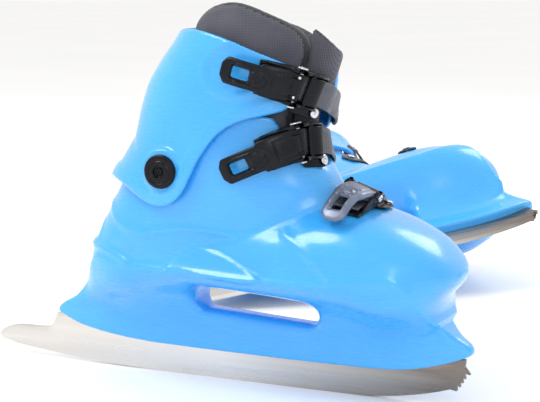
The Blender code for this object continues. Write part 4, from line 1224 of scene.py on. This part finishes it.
def make_materials():
    """Every finish, by the name the pieces use."""
    shell = Nodes("sky_blue_shell")
    shell.set(Roughness=0.3, IOR=1.5, Coat_Weight=0.55, Coat_Roughness=0.12)
    shell.set(Subsurface_Weight=0.06, Subsurface_Radius=(0.3, 0.6, 1.0), Subsurface_Scale=0.003)
    shell.colour(shell.ramp(shell.noise(14.0, 4.0), [(0.3, srgb(54, 162, 238)),
                                                     (0.7, srgb(64, 172, 244))]))
    scuff = shell.noise(60.0, 6.0, (1.0, 1.0, 6.0))
    shell.roughness(shell.ramp(scuff, [(0.35, (0.24,) * 3), (0.62, (0.32,) * 3),
                                       (0.75, (0.46,) * 3)]))
    shell.bump(shell.noise(420.0, 2.0), 0.12, 0.0004)

    black = Nodes("black_nylon")
    black.set(Roughness=0.3, Specular_IOR_Level=0.22)
    black.colour(black.ramp(black.noise(30.0), [(0.3, srgb(6, 8, 14)), (0.7, srgb(14, 17, 25))]))
    black.roughness(black.ramp(black.noise(90.0, 6.0, (1, 1, 5)), [(0.3, (0.2,) * 3),
                                                                   (0.7, (0.36,) * 3)]))
    black.bump(black.noise(900.0, 2.0), 0.15, 0.0003)

    silver = Nodes("silver_lever")
    silver.set(Metallic=0.55, Roughness=0.34)
    silver.colour(silver.ramp(silver.noise(40.0), [(0.3, srgb(104, 112, 132)),
                                                   (0.7, srgb(126, 134, 154))]))
    silver.roughness(silver.ramp(silver.noise(120.0, 5.0, (1, 6, 1)), [(0.3, (0.28,) * 3),
                                                                       (0.7, (0.45,) * 3)]))
    silver.bump(silver.noise(700.0, 2.0), 0.12, 0.0003)

    strap = Nodes("strap_plastic")
    strap.set(Roughness=0.4)
    strap.colour(strap.ramp(strap.noise(30.0), [(0.3, srgb(62, 65, 74)),
                                                (0.7, srgb(78, 82, 92))]))
    strap.roughness(strap.ramp(strap.noise(150.0, 4.0), [(0.3, (0.32,) * 3), (0.7, (0.5,) * 3)]))
    strap.bump(strap.noise(800.0, 2.0), 0.15, 0.0003)

    steel = Nodes("rivet_steel")
    steel.set(Metallic=1.0, Roughness=0.22)
    steel.colour(steel.ramp(steel.noise(90.0), [(0.3, srgb(196, 199, 206)),
                                                (0.7, srgb(226, 228, 232))]))
    steel.roughness(steel.ramp(steel.noise(300.0, 6.0), [(0.35, (0.16,) * 3),
                                                         (0.7, (0.36,) * 3)]))
    steel.bump(steel.noise(1200.0, 2.0), 0.1, 0.0002)

    blade = Nodes("ground_blade_steel")
    blade.set(Metallic=1.0, Roughness=0.3, Anisotropic=0.5)
    # Painted reflection: the blade's colour runs light at the tail and dark towards the toe, with
    # a random lengthwise grain tone on top.
    along = blade.math("ADD", blade.math("MULTIPLY", blade.axis("X"), 2.75), 0.6)
    grain = blade.math("MULTIPLY", blade.noise(260.0, 3.0, (0.03, 1.0, 1.0)), 0.16)
    reflection_and_grain_tone = blade.math("ADD", along, blade.math("SUBTRACT", grain, 0.08))
    blade.colour(blade.ramp(reflection_and_grain_tone, [(0.0, srgb(210, 206, 201)), (0.5, srgb(226, 221, 214)),
                                   (0.95, srgb(126, 118, 110))]))
    blade.roughness(blade.ramp(blade.noise(340.0, 4.0, (0.03, 1.0, 1.0)),
                               [(0.3, (0.22,) * 3), (0.7, (0.4,) * 3)]))
    blade.bump(blade.noise(900.0, 2.0, (0.03, 1.0, 1.0)), 0.15, 0.0002)

    fabric = Nodes("liner_fabric")
    fabric.set(Roughness=0.85, Sheen_Weight=0.12, Sheen_Roughness=0.5)
    weave = fabric.math("MULTIPLY", fabric.wave(300.0, "X", 0.4), fabric.wave(300.0, "Z", 0.4))
    mixed = fabric.math("ADD", fabric.math("MULTIPLY", weave, 0.5),
                        fabric.math("MULTIPLY", fabric.noise(35.0, 5.0), 0.7))
    fabric.colour(fabric.ramp(mixed, [(0.2, srgb(60, 61, 70)), (0.8, srgb(96, 97, 108))]))
    fabric.bump(mixed, 0.5, 0.0006)

    binding = Nodes("black_binding")
    binding.set(Roughness=0.6, Sheen_Weight=0.2)
    ribs = binding.wave(420.0, "DIAGONAL", 1.0)
    binding.colour(binding.ramp(ribs, [(0.2, srgb(14, 15, 20)), (0.8, srgb(34, 36, 44))]))
    binding.bump(ribs, 0.5, 0.0004)

    felt = Nodes("footbed_felt")
    felt.set(Roughness=0.95, Sheen_Weight=0.5)
    fuzz = felt.noise(500.0, 6.0)
    felt.colour(felt.ramp(fuzz, [(0.3, srgb(44, 45, 52)), (0.7, srgb(86, 88, 98))]))
    felt.bump(fuzz, 0.6, 0.0006)

    floor = Nodes("pale_floor")
    floor.set(Roughness=0.55)
    floor.colour(floor.ramp(floor.noise(3.0), [(0.3, srgb(250, 250, 251)),
                                               (0.7, srgb(253, 253, 253))]))
    floor.bump(floor.noise(60.0), 0.02, 0.0004)

    made = {"shell": shell, "black": black, "silver": silver, "strap": strap, "steel": steel,
            "blade": blade, "fabric": fabric, "binding": binding, "felt": felt, "floor": floor}
    for key, nodes in made.items():
        MATERIALS[key] = nodes.material


# ---------------------------------------------------------------- floor, lights, camera
def studio():
    """A wide pale floor, soft lights, and the camera."""
    turns = np.linspace(0, 2 * np.pi, 65)[:-1]
    rim = FLOOR_RADIUS * np.stack([np.cos(turns), np.sin(turns), 0 * turns], 1)
    points = np.concatenate([rim, rim * 0.1])
    faces = [(k, (k + 1) % 64, 64 + (k + 1) % 64, 64 + k) for k in range(64)]
    inner = [(64 + 2 * k, 64 + 2 * k + 1, 64 + (2 * k + 2) % 64, 128) for k in range(32)]
    points = np.concatenate([points, [(0.0, 0.0, 0.0)]])
    floor = make_object("floor", points, faces + inner, "floor")

    world = bpy.data.worlds.new("studio")
    world.use_nodes = True
    backing = world.node_tree.nodes["Background"]
    backing.inputs["Color"].default_value = (*srgb(250, 249, 248), 1.0)
    backing.inputs["Strength"].default_value = 1.0
    bpy.context.scene.world = world

    lights = (
        ("key", (-0.9, -0.7, 1.5), (0.0, 0.05, 0.12), 0.9, 15.0),
        ("front", (0.9, -1.4, 0.9), (0.05, 0.0, 0.1), 0.8, 5.0),
        ("rim", (0.5, 1.2, 1.2), (0.0, 0.1, 0.12), 0.8, 7.0),
    )
    for name, place, aim, size, power in lights:
        data = bpy.data.lights.new(name + "_light", "AREA")
        data.energy = power
        data.shape = "DISK"
        data.size = size
        lamp = bpy.data.objects.new(name + "_light", data)
        lamp.location = place
        lamp.rotation_euler = (Vector(aim) - Vector(place)).to_track_quat("-Z", "Y").to_euler()
        bpy.context.scene.collection.objects.link(lamp)

    lens = bpy.data.cameras.new("camera")
    lens.lens = 109.3
    lens.sensor_width = 36.0
    lens.clip_start = 0.05
    camera = bpy.data.objects.new("camera", lens)
    camera.location = (0.465, -0.997, 0.30)
    aim = Vector((0.0, 0.0, 0.1276)) - camera.location
    camera.rotation_euler = aim.to_track_quat("-Z", "Y").to_euler()
    bpy.context.scene.collection.objects.link(camera)
    bpy.context.scene.camera = camera
    bpy.context.scene.view_settings.view_transform = "Standard"


def build():
    """Everything, in order."""
    make_materials()
    tracks = make_tracks()
    shell_piece()
    cuff_piece(tracks)
    pivot_piece("lateral", -1)
    pivot_piece("medial", 1)
    buckles(tracks)
    blade_piece()
    padded_pieces()
    studio()


build()
bpy.context.view_layer.update()
